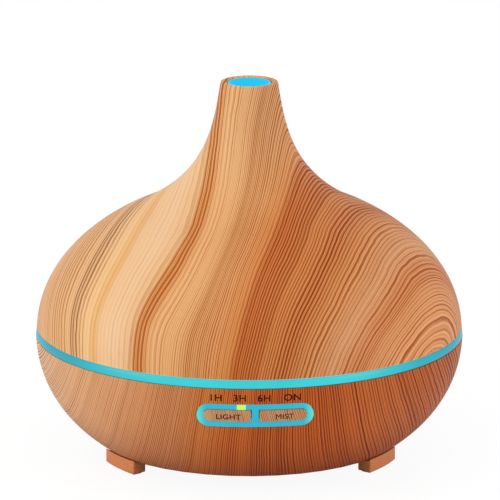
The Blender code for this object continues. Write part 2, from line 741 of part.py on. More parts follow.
def arc_slab(name, inner, outer, angle, spread, low, high, mat=None):
    """A slab that follows an arc round the axis."""
    angles = [angle - spread / 2 + spread * i / FOOT_STEPS for i in range(FOOT_STEPS + 1)]
    outline = [polar(outer, a) for a in angles] + [polar(inner, a) for a in angles[::-1]]
    return slab(name, [point.xy for point in outline], low, high, mat)


def make_feet(mats):
    """Three curved feet close under the base, each with a rubber pad let into its underside."""
    seat = BOTTOM_FACE - GAP
    lip = BASE_EDGE - GAP + (FOOT_OUTER - BASE_EDGE_RADIUS) * FOOT_SLOPE
    section = [
        (FOOT_OUTER, lip),
        (FOOT_OUTER, FOOT_BOTTOM),
        (FOOT_INNER, FOOT_BOTTOM),
        (FOOT_INNER, seat),
        (BASE_EDGE_RADIUS - GAP, seat),
    ]
    pocket_spread = FOOT_SPREAD - 2 * math.degrees(PAD_INSET / FOOT_OUTER)
    pad_spread = pocket_spread - 2 * math.degrees(GAP / FOOT_INNER)
    pad_inner, pad_outer = FOOT_INNER + PAD_INSET + GAP, FOOT_OUTER - PAD_INSET - GAP
    for side, angle in FOOT_ANGLES.items():
        foot = turned(f"foot_{side}", section, mats["wood_shell"], steps=2 * BODY_STEPS)
        inner, outer = FOOT_INNER - JOIN_DEPTH, FOOT_OUTER + JOIN_DEPTH
        keep_inside(foot, arc_slab("span", inner, outer, angle, FOOT_SPREAD, 0.0, 2 * lip))
        inner, outer = FOOT_INNER + PAD_INSET, FOOT_OUTER - PAD_INSET
        cut(foot, arc_slab("pocket", inner, outer, angle, pocket_spread, 0.0, PAD_DEPTH + GAP))
        name, mat = f"foot_pad_{side}", mats["rubber"]
        arc_slab(name, pad_inner, pad_outer, angle, pad_spread, 0.0, PAD_DEPTH, mat)


# ---- Control panel ----


def panel_prism(name, left, right, half_height, left_round=True, right_round=True, grow=0.0):
    """A bar cut along Y through the front of the base, with round or square ends."""
    half = half_height + grow
    left, right = left - grow, right + grow
    outline = end_points(right, half, 1.0, right_round) + end_points(left, half, -1.0, left_round)
    prism = slab(name, outline, -PANEL_CUT_BACK, -PANEL_CUT_FRONT)
    prism.data.transform(Matrix.Translation((0, 0, PANEL_Z)) @ Matrix.Rotation(math.radians(90), 4, "X"))
    return prism


def end_points(x, half, side, rounded):
    """The outline of one end of a bar: from its bottom to its top on the right, back on the left."""
    if not rounded:
        return [(x, -side * half), (x, side * half)]
    centre = x - side * half
    angles = [math.pi * (i / PANEL_END_STEPS - 0.5) for i in range(PANEL_END_STEPS + 1)]
    return [(centre + side * half * math.cos(a), side * half * math.sin(a)) for a in angles]


def pill(name, half_length, half_height):
    """A bar with two round ends, in the middle of the panel."""
    return panel_prism(name, -half_length, half_length, half_height)


def panel_bore(radius, x, front=PANEL_CUT_FRONT):
    """A cutter for a round hole along Y, at the height of the panel's middle."""
    return cylinder("bore", radius, (x, front, PANEL_Z), (x, PANEL_CUT_BACK, PANEL_Z), None, SMALL_STEPS)


def shell_layer(name, outer, inner, mat=None):
    """A thickness of the base's outline, from outer to inner behind its surface."""
    outside = base_outline()
    return turned(name, offset(outside, -outer) + offset(outside, -inner)[::-1], mat)


def make_panel(mats):
    """The glowing frame with its timer lens, the two buttons, and the board behind them."""
    frame = shell_layer("panel_frame", -PANEL_PROUD, WALL + PANEL_FLANGE_THICK, mats["cyan_glow"])
    keep_inside(frame, pill("outline", PANEL_HALF_LENGTH, PANEL_HALF_HEIGHT))
    flange = shell_layer("flange", WALL + GAP, WALL + PANEL_FLANGE_THICK - PANEL_STEP)
    flange_length = PANEL_HALF_LENGTH - PANEL_FLANGE_SHORT
    keep_inside(flange, pill("outline", flange_length, PANEL_HALF_HEIGHT + PANEL_FLANGE))
    join(frame, flange)
    for side in (-1, 1):
        cut(frame, button_outline("window", side, 0.0))
    bar_bottom, bar_top = PANEL_Z + WINDOW_HALF_HEIGHT, PANEL_Z + PANEL_HALF_HEIGHT
    low = Vector((LENS_X - LENS_WIDTH / 2, LENS_FRONT, bar_bottom))
    high = Vector((LENS_X + LENS_WIDTH / 2, LENS_BACK, bar_top))
    slack = Vector((GAP, 0, GAP))
    cut(frame, box("notch", low - slack, high + slack))
    lens = shell_layer("timer_lens", -PANEL_PROUD, WALL - GAP, mats["lime_glow"])
    keep_inside(lens, box("outline", low, high))
    for name, side in (("light", -1), ("mist", 1)):
        make_button(name, side, mats)
    make_button_board(mats)


def make_button(name, side, mats):
    """A push button with the post behind it, and the switch and plunger it works on."""
    button = shell_layer(f"{name}_button", -PANEL_PROUD, WALL, mats["wood_shell"])
    keep_inside(button, button_outline("outline", side, GAP))
    half = SWITCH_SIZE / 2
    middle = Vector((side * SWITCH_X, BUTTON_BOARD_FRONT - GAP - half.y, PANEL_Z))
    tip = Vector((middle.x, middle.y - half.y + PLUNGER_SEAT - PLUNGER_LENGTH, PANEL_Z))
    corner = Vector((POST_HALF, 0, POST_HALF))
    start = Vector((middle.x, POST_FRONT, PANEL_Z))
    join(button, box("post", start - corner, tip - Vector((0, GAP, 0)) + corner))
    switch = box(f"{name}_switch", middle - half, middle + half, mats["black_plastic"])
    cut(switch, panel_bore(PLUNGER_BORE, middle.x))
    end = tip + Vector((0, PLUNGER_LENGTH, 0))
    cylinder(f"{name}_plunger", PLUNGER_RADIUS, tip, end, mats["white_plastic"], SMALL_STEPS)


def make_button_board(mats):
    """The board behind the buttons, its two screws and the timer's LED."""
    front, back = BUTTON_BOARD_FRONT, BUTTON_BOARD_FRONT + BUTTON_BOARD_THICK
    low = (-BUTTON_BOARD_LENGTH / 2, front, PANEL_Z - BUTTON_BOARD_HEIGHT / 2)
    high = (BUTTON_BOARD_LENGTH / 2, back, PANEL_Z + BUTTON_BOARD_HEIGHT / 2)
    plate = box("button_board", low, high, mats["circuit_board"])
    for side, x in (("left", -PANEL_SCREW_X), ("right", PANEL_SCREW_X)):
        cut(plate, panel_bore(SCREW_HOLE, x))
        fixing = screw(f"board_screw_{side}", (0, 0, 0), PANEL_SCREW, mats)
        fixing.data.transform(Matrix.Rotation(math.radians(90), 4, "X"))
        fixing.location = (x, back + GAP, PANEL_Z)
    half = LED_SIZE / 2
    place = Vector((LENS_X, front - GAP - half.y, PANEL_Z + TIMER_LED_RISE))
    box("timer_led", place - half, place + half, mats["white_plastic"])


def button_outline(name, side, clearance):
    """One button's opening: square at the middle bar, round at the frame's end."""
    near, far = side * BAR_HALF_WIDTH, side * WINDOW_END
    left, right = min(near, far), max(near, far)
    return panel_prism(name, left, right, WINDOW_HALF_HEIGHT, side < 0, side > 0, -clearance)


# ---- Fan ----


def fan_screw_places():
    """The two opposite corners at which the fan is screwed down."""
    step = Vector((FAN_SCREW_OFFSET, FAN_SCREW_OFFSET, 0))
    return (DUCT_PLACE - step, DUCT_PLACE + step)


def make_fan(mats):
    """The small axial fan that blows air up the duct."""
    low = bottom_top() + GAP
    high = low + FAN_HEIGHT
    size = Vector((FAN_SIDE, FAN_SIDE, FAN_HEIGHT))
    frame = block("fan_frame", size, at(DUCT_PLACE, low), mats["black_plastic"])
    cut(frame, bore(FAN_BORE, DUCT_PLACE, steps=ROUND_STEPS))
    for place in fan_screw_places():
        cut(frame, bore(SCREW_HOLE, place))
    hub = cylinder("hub", FAN_HUB_RADIUS, at(DUCT_PLACE, low), at(DUCT_PLACE, low + FAN_HUB_PLATE))
    strut = Vector((FAN_SIDE - JOIN_DEPTH, FAN_STRUT, FAN_HUB_PLATE))
    cross = Vector((strut.y, strut.x, strut.z))
    join(hub, block("strut", strut, at(DUCT_PLACE, low)), block("strut", cross, at(DUCT_PLACE, low)))
    join(frame, hub)
    for i, place in enumerate(fan_screw_places()):
        screw(f"fan_screw_{i + 1}", at(place, high + GAP), FAN_SCREW, mats, down=True)

    rotor_low = low + FAN_HUB_PLATE + GAP
    rotor_high = high - FAN_BEVEL
    profile = [
        (FAN_HUB_RADIUS - FAN_BEVEL, rotor_high),
        (FAN_HUB_RADIUS, rotor_high - FAN_BEVEL),
        (FAN_HUB_RADIUS, rotor_low),
    ]
    rotor = disc("fan_rotor", profile, mats["black_plastic"], steps=ROUND_STEPS, place=DUCT_PLACE)
    middle = (rotor_low + rotor_high) / 2
    corner = Vector((0, BLADE_HALF_CHORD, BLADE_THICK / 2))
    root, tip = Vector((FAN_HUB_RADIUS - JOIN_DEPTH, 0, 0)), Vector((BLADE_TIP_RADIUS, 0, 0))
    for i in range(BLADE_COUNT):
        blade = box("blade", root - corner, tip + corner)
        turn = Matrix.Rotation(math.radians(360 * i / BLADE_COUNT), 4, "Z")
        pitch = Matrix.Rotation(math.radians(BLADE_PITCH), 4, "X")
        blade.data.transform(Matrix.Translation(at(DUCT_PLACE, middle)) @ turn @ pitch)
        join(rotor, blade)
    seal_low, seal_high = high + GAP, TANK_FLOOR - GAP
    section = [
        (FAN_SEAL_OUTER, seal_high),
        (FAN_SEAL_OUTER, seal_low),
        (FAN_SEAL_INNER, seal_low),
        (FAN_SEAL_INNER, seal_high),
    ]
    turned("fan_foam_seal", section, mats["foam"], ROUND_STEPS, place=DUCT_PLACE)


# ---- Main board, socket and leads ----


def board_screw_places():
    """The two axes of the screws that hold the main board."""
    return Vector((-BOARD_SCREW_X, BOARD_PLACE.y, 0)), Vector((BOARD_SCREW_X, BOARD_PLACE.y, 0))


def make_main_board(mats):
    """The driver board: controller, coil, capacitor, connector, transistor on its heat sink."""
    board = block("main_board", BOARD_SIZE, BOARD_PLACE, mats["circuit_board"])
    for side, place in zip(("left", "right"), board_screw_places()):
        cut(board, bore(SCREW_HOLE, place))
        screw(f"main_board_screw_{side}", at(place, BOARD_TOP), BOARD_SCREW, mats, down=True)
    block("controller_chip", CHIP_SIZE, CHIP_PLACE, mats["black_plastic"])
    block("panel_connector", CONNECTOR_SIZE, CONNECTOR_PLACE, mats["white_plastic"])

    drum = [
        (COIL_RADIUS, COIL_HEIGHT),
        (COIL_RADIUS, COIL_HEIGHT - COIL_FLANGE),
        (COIL_WAIST, COIL_HEIGHT - COIL_FLANGE),
        (COIL_WAIST, COIL_FLANGE),
        (COIL_RADIUS, COIL_FLANGE),
        (COIL_RADIUS, 0.0),
    ]
    disc("inductor", drum, mats["ferrite"], POST_STEPS, COIL_PLACE)
    can = [
        (CAN_RADIUS - CAN_ROUND, CAN_HEIGHT),
        (CAN_RADIUS, CAN_HEIGHT - CAN_ROUND),
        (CAN_RADIUS, CAN_GROOVE + CAN_ROUND),
        (CAN_RADIUS - CAN_ROUND, CAN_GROOVE),
        (CAN_RADIUS, 0.0),
    ]
    disc("capacitor", can, mats["black_plastic"], POST_STEPS, CAN_PLACE)

    sink = block("heat_sink", SINK_SIZE, SINK_PLACE, mats["aluminium"])
    size = Vector((SINK_SLOT, SINK_SIZE.y, SINK_SIZE.z + 2 * JOIN_DEPTH))
    for i in range(SINK_SLOT_COUNT):
        step = Vector(((i - (SINK_SLOT_COUNT - 1) / 2) * SINK_PITCH, SINK_PLATE, -JOIN_DEPTH))
        cut(sink, block("slot", size, SINK_PLACE + step))
    behind = Vector((0, -(SINK_SIZE.y + TRANSISTOR_SIZE.y) / 2 - GAP, 0))
    block("power_transistor", TRANSISTOR_SIZE, SINK_PLACE + behind, mats["black_plastic"])


def make_jack(mats):
    """The round power socket at the back, whose nose fills the hole in the base shell."""
    low = Vector((-JACK_BODY.x / 2, JACK_BACK, JACK_Z - JACK_BODY.z / 2))
    jack = box("power_socket", low, low + JACK_BODY, mats["black_plastic"])
    start, end = (0, JACK_BACK + JACK_BODY.y - JOIN_DEPTH, JACK_Z), (0, JACK_NOSE_END, JACK_Z)
    join(jack, cylinder("nose", JACK_NOSE_RADIUS, start, end))
    bottom = JACK_NOSE_END - JACK_BORE_DEPTH
    cut(jack, cylinder("bore", JACK_BORE, (0, bottom, JACK_Z), (0, JACK_HOLE_BACK, JACK_Z)))
    start, end = (0, bottom + GAP, JACK_Z), (0, JACK_NOSE_END - JACK_PIN_SHORT, JACK_Z)
    cylinder("socket_pin", JACK_PIN_RADIUS, start, end, mats["steel"], SMALL_STEPS)


def make_leads(mats):
    """The leads between the boards, each clear of what it passes."""
    board_edge = PANEL_Z - BUTTON_BOARD_HEIGHT / 2 - GAP
    connector_top = BOARD_TOP + CONNECTOR_SIZE.z + GAP
    wire(
        "transducer_lead",
        (
            (0.0010, -0.0010, 0.0180),
            (0.0010, -0.0015, 0.0160),
            (0.0015, -0.0040, 0.0141),
            (0.0030, -0.0090, 0.0138),
            (0.0040, -0.0170, 0.0134),
            (0.0020, -0.0230, 0.0132),
            (-0.0010, -0.0290, 0.0130),
            (-0.0030, -0.0320, LEAD_END),
        ),
        mats,
    )
    wire(
        "fan_lead",
        (
            (-0.0052, 0.0300, 0.0125),
            (-0.0020, 0.0290, 0.0122),
            (0.0010, 0.0200, 0.0105),
            (0.0020, 0.0050, 0.0105),
            (0.0040, -0.0060, 0.0125),
            (0.0060, -0.0110, LEAD_END),
            (0.0070, -0.0140, LEAD_END),
        ),
        mats,
    )
    wire(
        "panel_lead",
        (
            (0.0080, -0.0710, board_edge),
            (0.0080, -0.0705, 0.0270),
            (0.0080, -0.0640, 0.0195),
            (0.0080, -0.0540, 0.0175),
            (0.0080, -0.0440, 0.0185),
            (0.0080, -0.0380, 0.0185),
            (0.0080, -0.0370, connector_top),
        ),
        mats,
    )
    wire(
        "socket_lead",
        (
            (0.0020, JACK_BACK - GAP, 0.0120),
            (0.0020, JACK_BACK - 0.0020, 0.0120),
            (0.0060, 0.0410, 0.0118),
            (0.0150, 0.0320, 0.0110),
            (0.0270, 0.0150, 0.0110),
            (0.0300, 0.0000, 0.0115),
            (0.0300, -0.0070, 0.0130),
            (0.0335, -0.0130, LEAD_END),
        ),
        mats,
    )


def main():
    """Builds every piece at rest."""
    clear_scene()
    mats = make_materials()
    make_outer_cover(mats)
    make_inner_cover(mats)
    make_light_ring(mats)
    make_tank(mats)
    make_transducer(mats)
    make_base_shell(mats)
    make_bottom_cover(mats)
    make_feet(mats)
    make_panel(mats)
    make_fan(mats)
    make_main_board(mats)
    make_jack(mats)
    make_leads(mats)


main()
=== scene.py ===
"""The looks of a wood-effect ultrasonic cool mist humidifier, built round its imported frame.

The frame gives every place and every moving body. Each sub-assembly below is a class that
turns, wraps or bevels its own fine meshes, dresses them, and hangs them on the frame's bodies.
"""

import json
import logging
import math
from dataclasses import dataclass, field
from enum import Enum
from typing import Iterable, Optional, Sequence

import bmesh
import bpy
from mathutils import Matrix, Vector


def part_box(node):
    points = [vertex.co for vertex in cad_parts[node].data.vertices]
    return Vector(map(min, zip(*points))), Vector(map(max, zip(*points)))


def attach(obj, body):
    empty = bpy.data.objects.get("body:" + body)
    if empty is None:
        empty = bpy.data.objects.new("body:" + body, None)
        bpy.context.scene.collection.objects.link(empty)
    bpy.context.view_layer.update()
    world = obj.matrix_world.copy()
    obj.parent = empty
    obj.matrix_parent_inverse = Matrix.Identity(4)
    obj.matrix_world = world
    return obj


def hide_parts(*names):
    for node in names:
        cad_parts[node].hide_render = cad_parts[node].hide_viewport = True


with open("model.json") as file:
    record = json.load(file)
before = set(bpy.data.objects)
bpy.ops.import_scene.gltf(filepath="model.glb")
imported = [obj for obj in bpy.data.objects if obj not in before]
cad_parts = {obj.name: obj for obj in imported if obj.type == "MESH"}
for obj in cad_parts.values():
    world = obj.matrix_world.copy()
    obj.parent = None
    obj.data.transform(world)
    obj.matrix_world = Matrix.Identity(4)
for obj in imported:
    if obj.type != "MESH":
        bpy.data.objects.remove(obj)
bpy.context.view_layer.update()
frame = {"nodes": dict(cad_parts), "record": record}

LOG = logging.getLogger("humidifier")
MM = 0.001
RING_UNIT = 50 * MM
CREASE = math.radians(30.0)
UPRIGHT = Matrix.Rotation(math.radians(90), 4, "X")
Colour = tuple[float, float, float]
Profile = list[Vector]
Outline = list[tuple[float, float]]

# How the late wood lines wander: each noise's scale, and its reach in lines.
SPACING_SCALE, SPACING_REACH = 0.12, 3.0
SWAY_SCALE, SWAY_REACH = 40.0, 0.8
RIPPLE_SCALE, RIPPLE_REACH = 150.0, 0.3
# The fine lines between them: how many to a late wood line, and how strong.
FINE_RATIO, FINE_SHARE = 2.37, 0.42
# Noise scales along X, Y and Z that draw the wood's streaks and the metal's brush marks.
STREAK_SCALE = (30.0, 30.0, 14.0)
FIBRE_SCALE = (1100.0, 1100.0, 70.0)
BRUSH_SCALE = (300.0, 4000.0, 4000.0)


class Body(Enum):
    """The bodies of the frame that the finer pieces ride on."""

    BASE = "base"
    COVER = "cover"
    SPLASH_COVER = "splash_cover"
    LIGHT_KEY = "light_key"
    MIST_KEY = "mist_key"


class Merge(Enum):
    """What becomes of a closed mesh that is combined with another."""

    JOIN = "UNION"
    CUT = "DIFFERENCE"


def srgb(red: int, green: int, blue: int) -> Colour:
    """A colour from 0 to 255 a channel, as the linear values that a shader takes.

    Args:
        red: The red channel.
        green: The green channel.
        blue: The blue channel.

    Returns:
        The linear colour.
    """
    channels = (red / 255, green / 255, blue / 255)
    linear = tuple(c / 12.92 if c <= 0.04045 else ((c + 0.055) / 1.055) ** 2.4 for c in channels)
    return linear[0], linear[1], linear[2]


# ---- Node trees ----


class Canvas:
    """A node tree being built, with short ways to add the nodes that the finishes use."""

    def __init__(self, tree: bpy.types.NodeTree) -> None:
        """Keeps the tree that nodes are added to."""
        self.tree = tree

    def add(self, kind: str, inputs: Optional[dict] = None, **settings: object) -> bpy.types.Node:
        """Adds a node.

        Args:
            kind: The node's type, without its ShaderNode prefix.
            inputs: Values or sockets for its inputs, by name or number.
            **settings: The node's own properties.

        Returns:
            The new node.
        """
        node = self.tree.nodes.new("ShaderNode" + kind)
        for name, value in settings.items():
            setattr(node, name, value)
        for name, value in (inputs or {}).items():
            self.feed(node.inputs[name], value)
        return node

    def feed(self, socket: bpy.types.NodeSocket, value: object) -> None:
        """Links a socket to another, or sets its value.

        Args:
            socket: The input to feed.
            value: A socket, or a plain value. Three numbers will do for a colour.
        """
        if isinstance(value, bpy.types.NodeSocket):
            self.tree.links.new(value, socket)
        elif isinstance(value, tuple) and socket.type == "RGBA" and len(value) == 3:
            socket.default_value = (*value, 1.0)
        else:
            socket.default_value = value

    def math(self, operation: str, *values: object, clamp: bool = False) -> bpy.types.NodeSocket:
        """Adds a Math node and returns its result."""
        node = self.add("Math", dict(enumerate(values)), operation=operation, use_clamp=clamp)
        return node.outputs[0]

    def vector(self, operation: str, *values: object) -> bpy.types.NodeSocket:
        """Adds a Vector Math node.

        Args:
            operation: What it does with its inputs.
            *values: Values or sockets for its inputs, in order.

        Returns:
            Its result, which is a number for a dot product and a vector otherwise.
        """
        node = self.add("VectorMath", operation=operation)
        for socket, value in zip(node.inputs, values):
            self.feed(socket, value)
        return node.outputs["Value" if operation == "DOT_PRODUCT" else "Vector"]

    def scaled(self, vector: bpy.types.NodeSocket, factor: Sequence[float]) -> bpy.types.NodeSocket:
        """Multiplies a vector by fixed factors along X, Y and Z."""
        return self.vector("MULTIPLY", vector, tuple(factor))

    def noise(
        self, place: object, scale: object, detail: float = 2.0, dimensions: str = "3D"
    ) -> bpy.types.NodeSocket:
        """Adds a Noise Texture.

        Args:
            place: Where it is read: a vector, or a number for one dimension.
            scale: How often it changes.
            detail: How many finer layers it has.
            dimensions: 3D or 1D.

        Returns:
            Its value, from 0 to 1.
        """
        key = "W" if dimensions == "1D" else "Vector"
        inputs = {key: place, "Scale": scale, "Detail": detail}
        return self.add("TexNoise", inputs, noise_dimensions=dimensions).outputs["Fac"]

    def mix(
        self, share: object, first: object, second: object, blend: str = "MIX"
    ) -> bpy.types.NodeSocket:
        """Mixes two colours.

        Args:
            share: How much of the second colour comes in.
            first: The first colour.
            second: The second colour.
            blend: How they are blended.

        Returns:
            The mixed colour.
        """
        node = self.add("Mix", data_type="RGBA", blend_type=blend, clamp_factor=True)
        self.feed(node.inputs[0], share)
        self.feed(node.inputs[6], first)
        self.feed(node.inputs[7], second)
        return node.outputs[2]

    def ease(
        self, value: object, low: float, high: float, to_low: float = 0.0, to_high: float = 1.0
    ) -> bpy.types.NodeSocket:
        """Maps a value smoothly from one range to another, and holds it at the ends."""
        inputs = {"Value": value, "From Min": low, "From Max": high, "To Min": to_low, "To Max": to_high}
        return self.add("MapRange", inputs, interpolation_type="SMOOTHSTEP").outputs["Result"]

    def ramp(
        self, share: bpy.types.NodeSocket, stops: Iterable[tuple[float, Colour]]
    ) -> bpy.types.NodeSocket:
        """Adds a Color Ramp.

        Args:
            share: Where along the ramp the colour is read, from 0 to 1.
            stops: Each stop's position and colour.

        Returns:
            The colour.
        """
        node = self.add("ValToRGB", {"Fac": share})
        elements = node.color_ramp.elements
        stops = list(stops)
        while len(elements) < len(stops):
            elements.new(0.5)
        for element, (place, colour) in zip(elements, stops):
            element.position = place
            element.color = (*colour, 1.0)
        return node.outputs["Color"]

    def comb(self, count: bpy.types.NodeSocket, start: float, full: float) -> bpy.types.NodeSocket:
        """Draws one soft line a whole number: 0 between the lines and 1 in their middles."""
        swing = self.math("ABSOLUTE", self.math("SUBTRACT", self.math("FRACT", count), 0.5))
        return self.ease(self.math("SUBTRACT", 1.0, self.math("MULTIPLY", swing, 2.0)), start, full)

    def group(self, tree: bpy.types.NodeTree, inputs: dict) -> bpy.types.Node:
        """Places a node group.

        Args:
            tree: The group.
            inputs: Values or sockets for its inputs, by name.

        Returns:
            The group's node.
        """
        node = self.tree.nodes.new("ShaderNodeGroup")
        node.node_tree = tree
        for name, value in inputs.items():
            self.feed(node.inputs[name], value)
        return node


def new_group(
    name: str, inputs: dict[str, str], outputs: dict[str, str]
) -> tuple[Canvas, bpy.types.Node, bpy.types.Node]:
    """Starts a shader node group with named sockets.

    Args:
        name: The group's name.
        inputs: Each input's name and kind: Float, Vector or Color.
        outputs: The same for its outputs.

    Returns:
        The group's canvas, its input node and its output node.
    """
    tree = bpy.data.node_groups.new(name, "ShaderNodeTree")
    for sockets, side in ((inputs, "INPUT"), (outputs, "OUTPUT")):
        for socket_name, kind in sockets.items():
            tree.interface.new_socket(socket_name, in_out=side, socket_type="NodeSocket" + kind)
    canvas = Canvas(tree)
    return canvas, tree.nodes.new("NodeGroupInput"), tree.nodes.new("NodeGroupOutput")


class Effects:
    """The shader node groups that several finishes share, each built once."""

    def __init__(self) -> None:
        """Builds every group."""
        self.rings = self._ring_field()
        self.grain = self._wood_grain()
        self.skin = self._moulded_skin()
        self.brush = self._brushed_metal()

    @staticmethod
    def _ring_field() -> bpy.types.NodeTree:
        """The growth rings of the block that a wooden body is turned from, as one smooth value.

        Returns:
            A group from a place on the piece to the ring that it lies on.
        """
        canvas, given, out = new_group(
            "growth rings",
            {
                "Place": "Vector",
                "Slope": "Vector",
                "Bow": "Vector",
                "Twist": "Vector",
                "Waver": "Float",
            },
            {"Ring": "Float"},
        )
        place = canvas.scaled(given.outputs["Place"], (1 / RING_UNIT,) * 3)
        parts = canvas.add("SeparateXYZ", {0: place}).outputs
        turned = canvas.add("CombineXYZ", {0: parts[1], 1: parts[2], 2: parts[0]}).outputs[0]
        slope = canvas.vector("DOT_PRODUCT", place, given.outputs["Slope"])
        squares = canvas.vector("MULTIPLY", place, place)
        bow = canvas.vector("DOT_PRODUCT", squares, given.outputs["Bow"])
        products = canvas.vector("MULTIPLY", place, turned)
        twist = canvas.vector("DOT_PRODUCT", products, given.outputs["Twist"])
        drift = canvas.math("SUBTRACT", canvas.noise(place, 0.9, 1.0), 0.5)
        waver = canvas.math("MULTIPLY", drift, given.outputs["Waver"])
        total = canvas.math("ADD", canvas.math("ADD", slope, bow), canvas.math("ADD", twist, waver))
        canvas.feed(out.inputs["Ring"], total)
        return canvas.tree

    @staticmethod
    def _wood_grain() -> bpy.types.NodeTree:
        """Late wood lines, finer lines between them, mottling and fibres, along the growth rings.

        Returns:
            A group that stains a tone with grain, and gives its roughness and height.
        """
        canvas, given, out = new_group(
            "wood grain",
            {
                "Place": "Vector",
                "Ring": "Float",
                "Tone": "Color",
                "Late Wood": "Color",
                "Density": "Float",
                "Pitch": "Float",
                "Strength": "Float",
                "Crowd From": "Float",
                "Crowding": "Float",
                "Sparse Below": "Float",
                "Sparseness": "Float",
            },
            {"Color": "Color", "Roughness": "Float", "Height": "Float"},
        )
        place, ring = given.outputs["Place"], given.outputs["Ring"]
        beyond = canvas.math("MAXIMUM", canvas.math("SUBTRACT", ring, given.outputs["Crowd From"]), 0.0)
        packed = canvas.math("ADD", ring, canvas.math("MULTIPLY", beyond, given.outputs["Crowding"]))
        short = canvas.math("MAXIMUM", canvas.math("SUBTRACT", given.outputs["Sparse Below"], ring), 0.0)
        packed = canvas.math("ADD", packed, canvas.math("MULTIPLY", short, given.outputs["Sparseness"]))
        count = canvas.math("DIVIDE", canvas.math("MULTIPLY", packed, RING_UNIT), given.outputs["Pitch"])
        spread = canvas.noise(count, SPACING_SCALE, 1.0, "1D")
        spread = canvas.math("MULTIPLY", spread, SPACING_REACH)
        sway = canvas.math("MULTIPLY", canvas.noise(place, SWAY_SCALE, 1.0), SWAY_REACH)
        ripple = canvas.math("MULTIPLY", canvas.noise(place, RIPPLE_SCALE, 1.0), RIPPLE_REACH)
        count = canvas.math("ADD", canvas.math("ADD", count, spread), canvas.math("ADD", sway, ripple))
        late = canvas.comb(count, 0.38, 0.82)
        line = canvas.math("FLOOR", count)
        chance = canvas.add("TexWhiteNoise", {"W": line}, noise_dimensions="1D").outputs["Value"]
        late = canvas.math("MULTIPLY", late, canvas.ease(chance, 0.0, 1.0, 0.45, 1.15))
        along = canvas.noise(canvas.scaled(place, STREAK_SCALE), 1.0, 2.0)
        late = canvas.math("MULTIPLY", late, canvas.ease(along, 0.3, 0.7, 0.65, 1.1))
        fine = canvas.comb(canvas.math("MULTIPLY", count, FINE_RATIO), 0.2, 0.9)
        lines = canvas.math("ADD", late, canvas.math("MULTIPLY", fine, FINE_SHARE))
        lines = canvas.math("MULTIPLY", lines, given.outputs["Density"])
        band = canvas.ease(canvas.noise(ring, 7.0, 2.0, "1D"), 0.50, 0.72, 0.0, 0.22)
        fibres = canvas.noise(canvas.scaled(place, FIBRE_SCALE), 1.0, 3.0)
        speck = canvas.ease(fibres, 0.5, 0.8, 0.0, 0.12)
        share = canvas.math("ADD", canvas.math("MULTIPLY", lines, given.outputs["Strength"]), speck)
        share = canvas.math("ADD", share, canvas.math("MULTIPLY", band, given.outputs["Density"]), clamp=True)
        colour = canvas.mix(share, given.outputs["Tone"], given.outputs["Late Wood"])
        canvas.feed(out.inputs["Color"], colour)
        canvas.feed(out.inputs["Roughness"], canvas.ease(lines, 0.0, 1.0, 0.42, 0.54))
        height = canvas.math("SUBTRACT", canvas.math("MULTIPLY", fibres, 0.25), lines)
        canvas.feed(out.inputs["Height"], height)
        return canvas.tree

    @staticmethod
    def _moulded_skin() -> bpy.types.NodeTree:
        """The fine texture and faint clouding of a moulded plastic or rubber skin.

        Returns:
            A group from a base colour to a clouded one, with its roughness and height.
        """
        canvas, given, out = new_group(
            "moulded skin",
            {
                "Place": "Vector",
                "Color": "Color",
                "Grain Size": "Float",
                "Roughness": "Float",
                "Clouding": "Float",
            },
            {"Color": "Color", "Roughness": "Float", "Height": "Float"},
        )
        place = given.outputs["Place"]
        scale = canvas.math("DIVIDE", 1.0, given.outputs["Grain Size"])
        grain = canvas.noise(place, scale, 3.0)
        cloud = canvas.noise(place, 60.0, 3.0)
        dark = canvas.mix(1.0, given.outputs["Color"], (0.55, 0.55, 0.55), "MULTIPLY")
        share = canvas.math("MULTIPLY", canvas.ease(cloud, 0.35, 0.75), given.outputs["Clouding"])
        canvas.feed(out.inputs["Color"], canvas.mix(share, given.outputs["Color"], dark))
        spread = canvas.ease(grain, 0.3, 0.7, -0.05, 0.07)
        roughness = canvas.math("ADD", given.outputs["Roughness"], spread, clamp=True)
        canvas.feed(out.inputs["Roughness"], roughness)
        canvas.feed(out.inputs["Height"], grain)
        return canvas.tree

    @staticmethod
    def _brushed_metal() -> bpy.types.NodeTree:
        """The drawn lines and stains of bare metal.

        Returns:
            A group from a metal's colour to a streaked one, with its roughness and height.
        """
        canvas, given, out = new_group(
            "brushed metal",
            {"Place": "Vector", "Color": "Color", "Roughness": "Float"},
            {"Color": "Color", "Roughness": "Float", "Height": "Float"},
        )
        place = given.outputs["Place"]
        streaks = canvas.noise(canvas.scaled(place, BRUSH_SCALE), 1.0, 3.0)
        stain = canvas.ease(canvas.noise(place, 180.0, 3.0), 0.45, 0.8, 0.0, 0.5)
        dull = canvas.mix(1.0, given.outputs["Color"], (0.5, 0.5, 0.5), "MULTIPLY")
        canvas.feed(out.inputs["Color"], canvas.mix(stain, given.outputs["Color"], dull))
        spread = canvas.ease(streaks, 0.3, 0.7, -0.08, 0.12)
        roughness = canvas.math("ADD", given.outputs["Roughness"], spread, clamp=True)
        canvas.feed(out.inputs["Roughness"], roughness)
        canvas.feed(out.inputs["Height"], streaks)
        return canvas.tree


# ---- Finishes ----


def new_material(name: str, **fixed: object) -> tuple[Canvas, bpy.types.Material, bpy.types.Node]:
    """Starts a material.

    Args:
        name: The material's name.
        **fixed: Values for the Principled shader's own sockets, with _ for each space.

    Returns:
        Its canvas, the material and its Principled shader.
    """
    material = bpy.data.materials.new(name)
    material.use_nodes = True
    canvas = Canvas(material.node_tree)
    shader = material.node_tree.nodes["Principled BSDF"]
    for key, value in fixed.items():
        canvas.feed(shader.inputs[key.replace("_", " ")], value)
    return canvas, material, shader


def place_of(canvas: Canvas) -> bpy.types.NodeSocket:
    """The place on the piece itself, which moves with it."""
    return canvas.add("TexCoord").outputs["Object"]


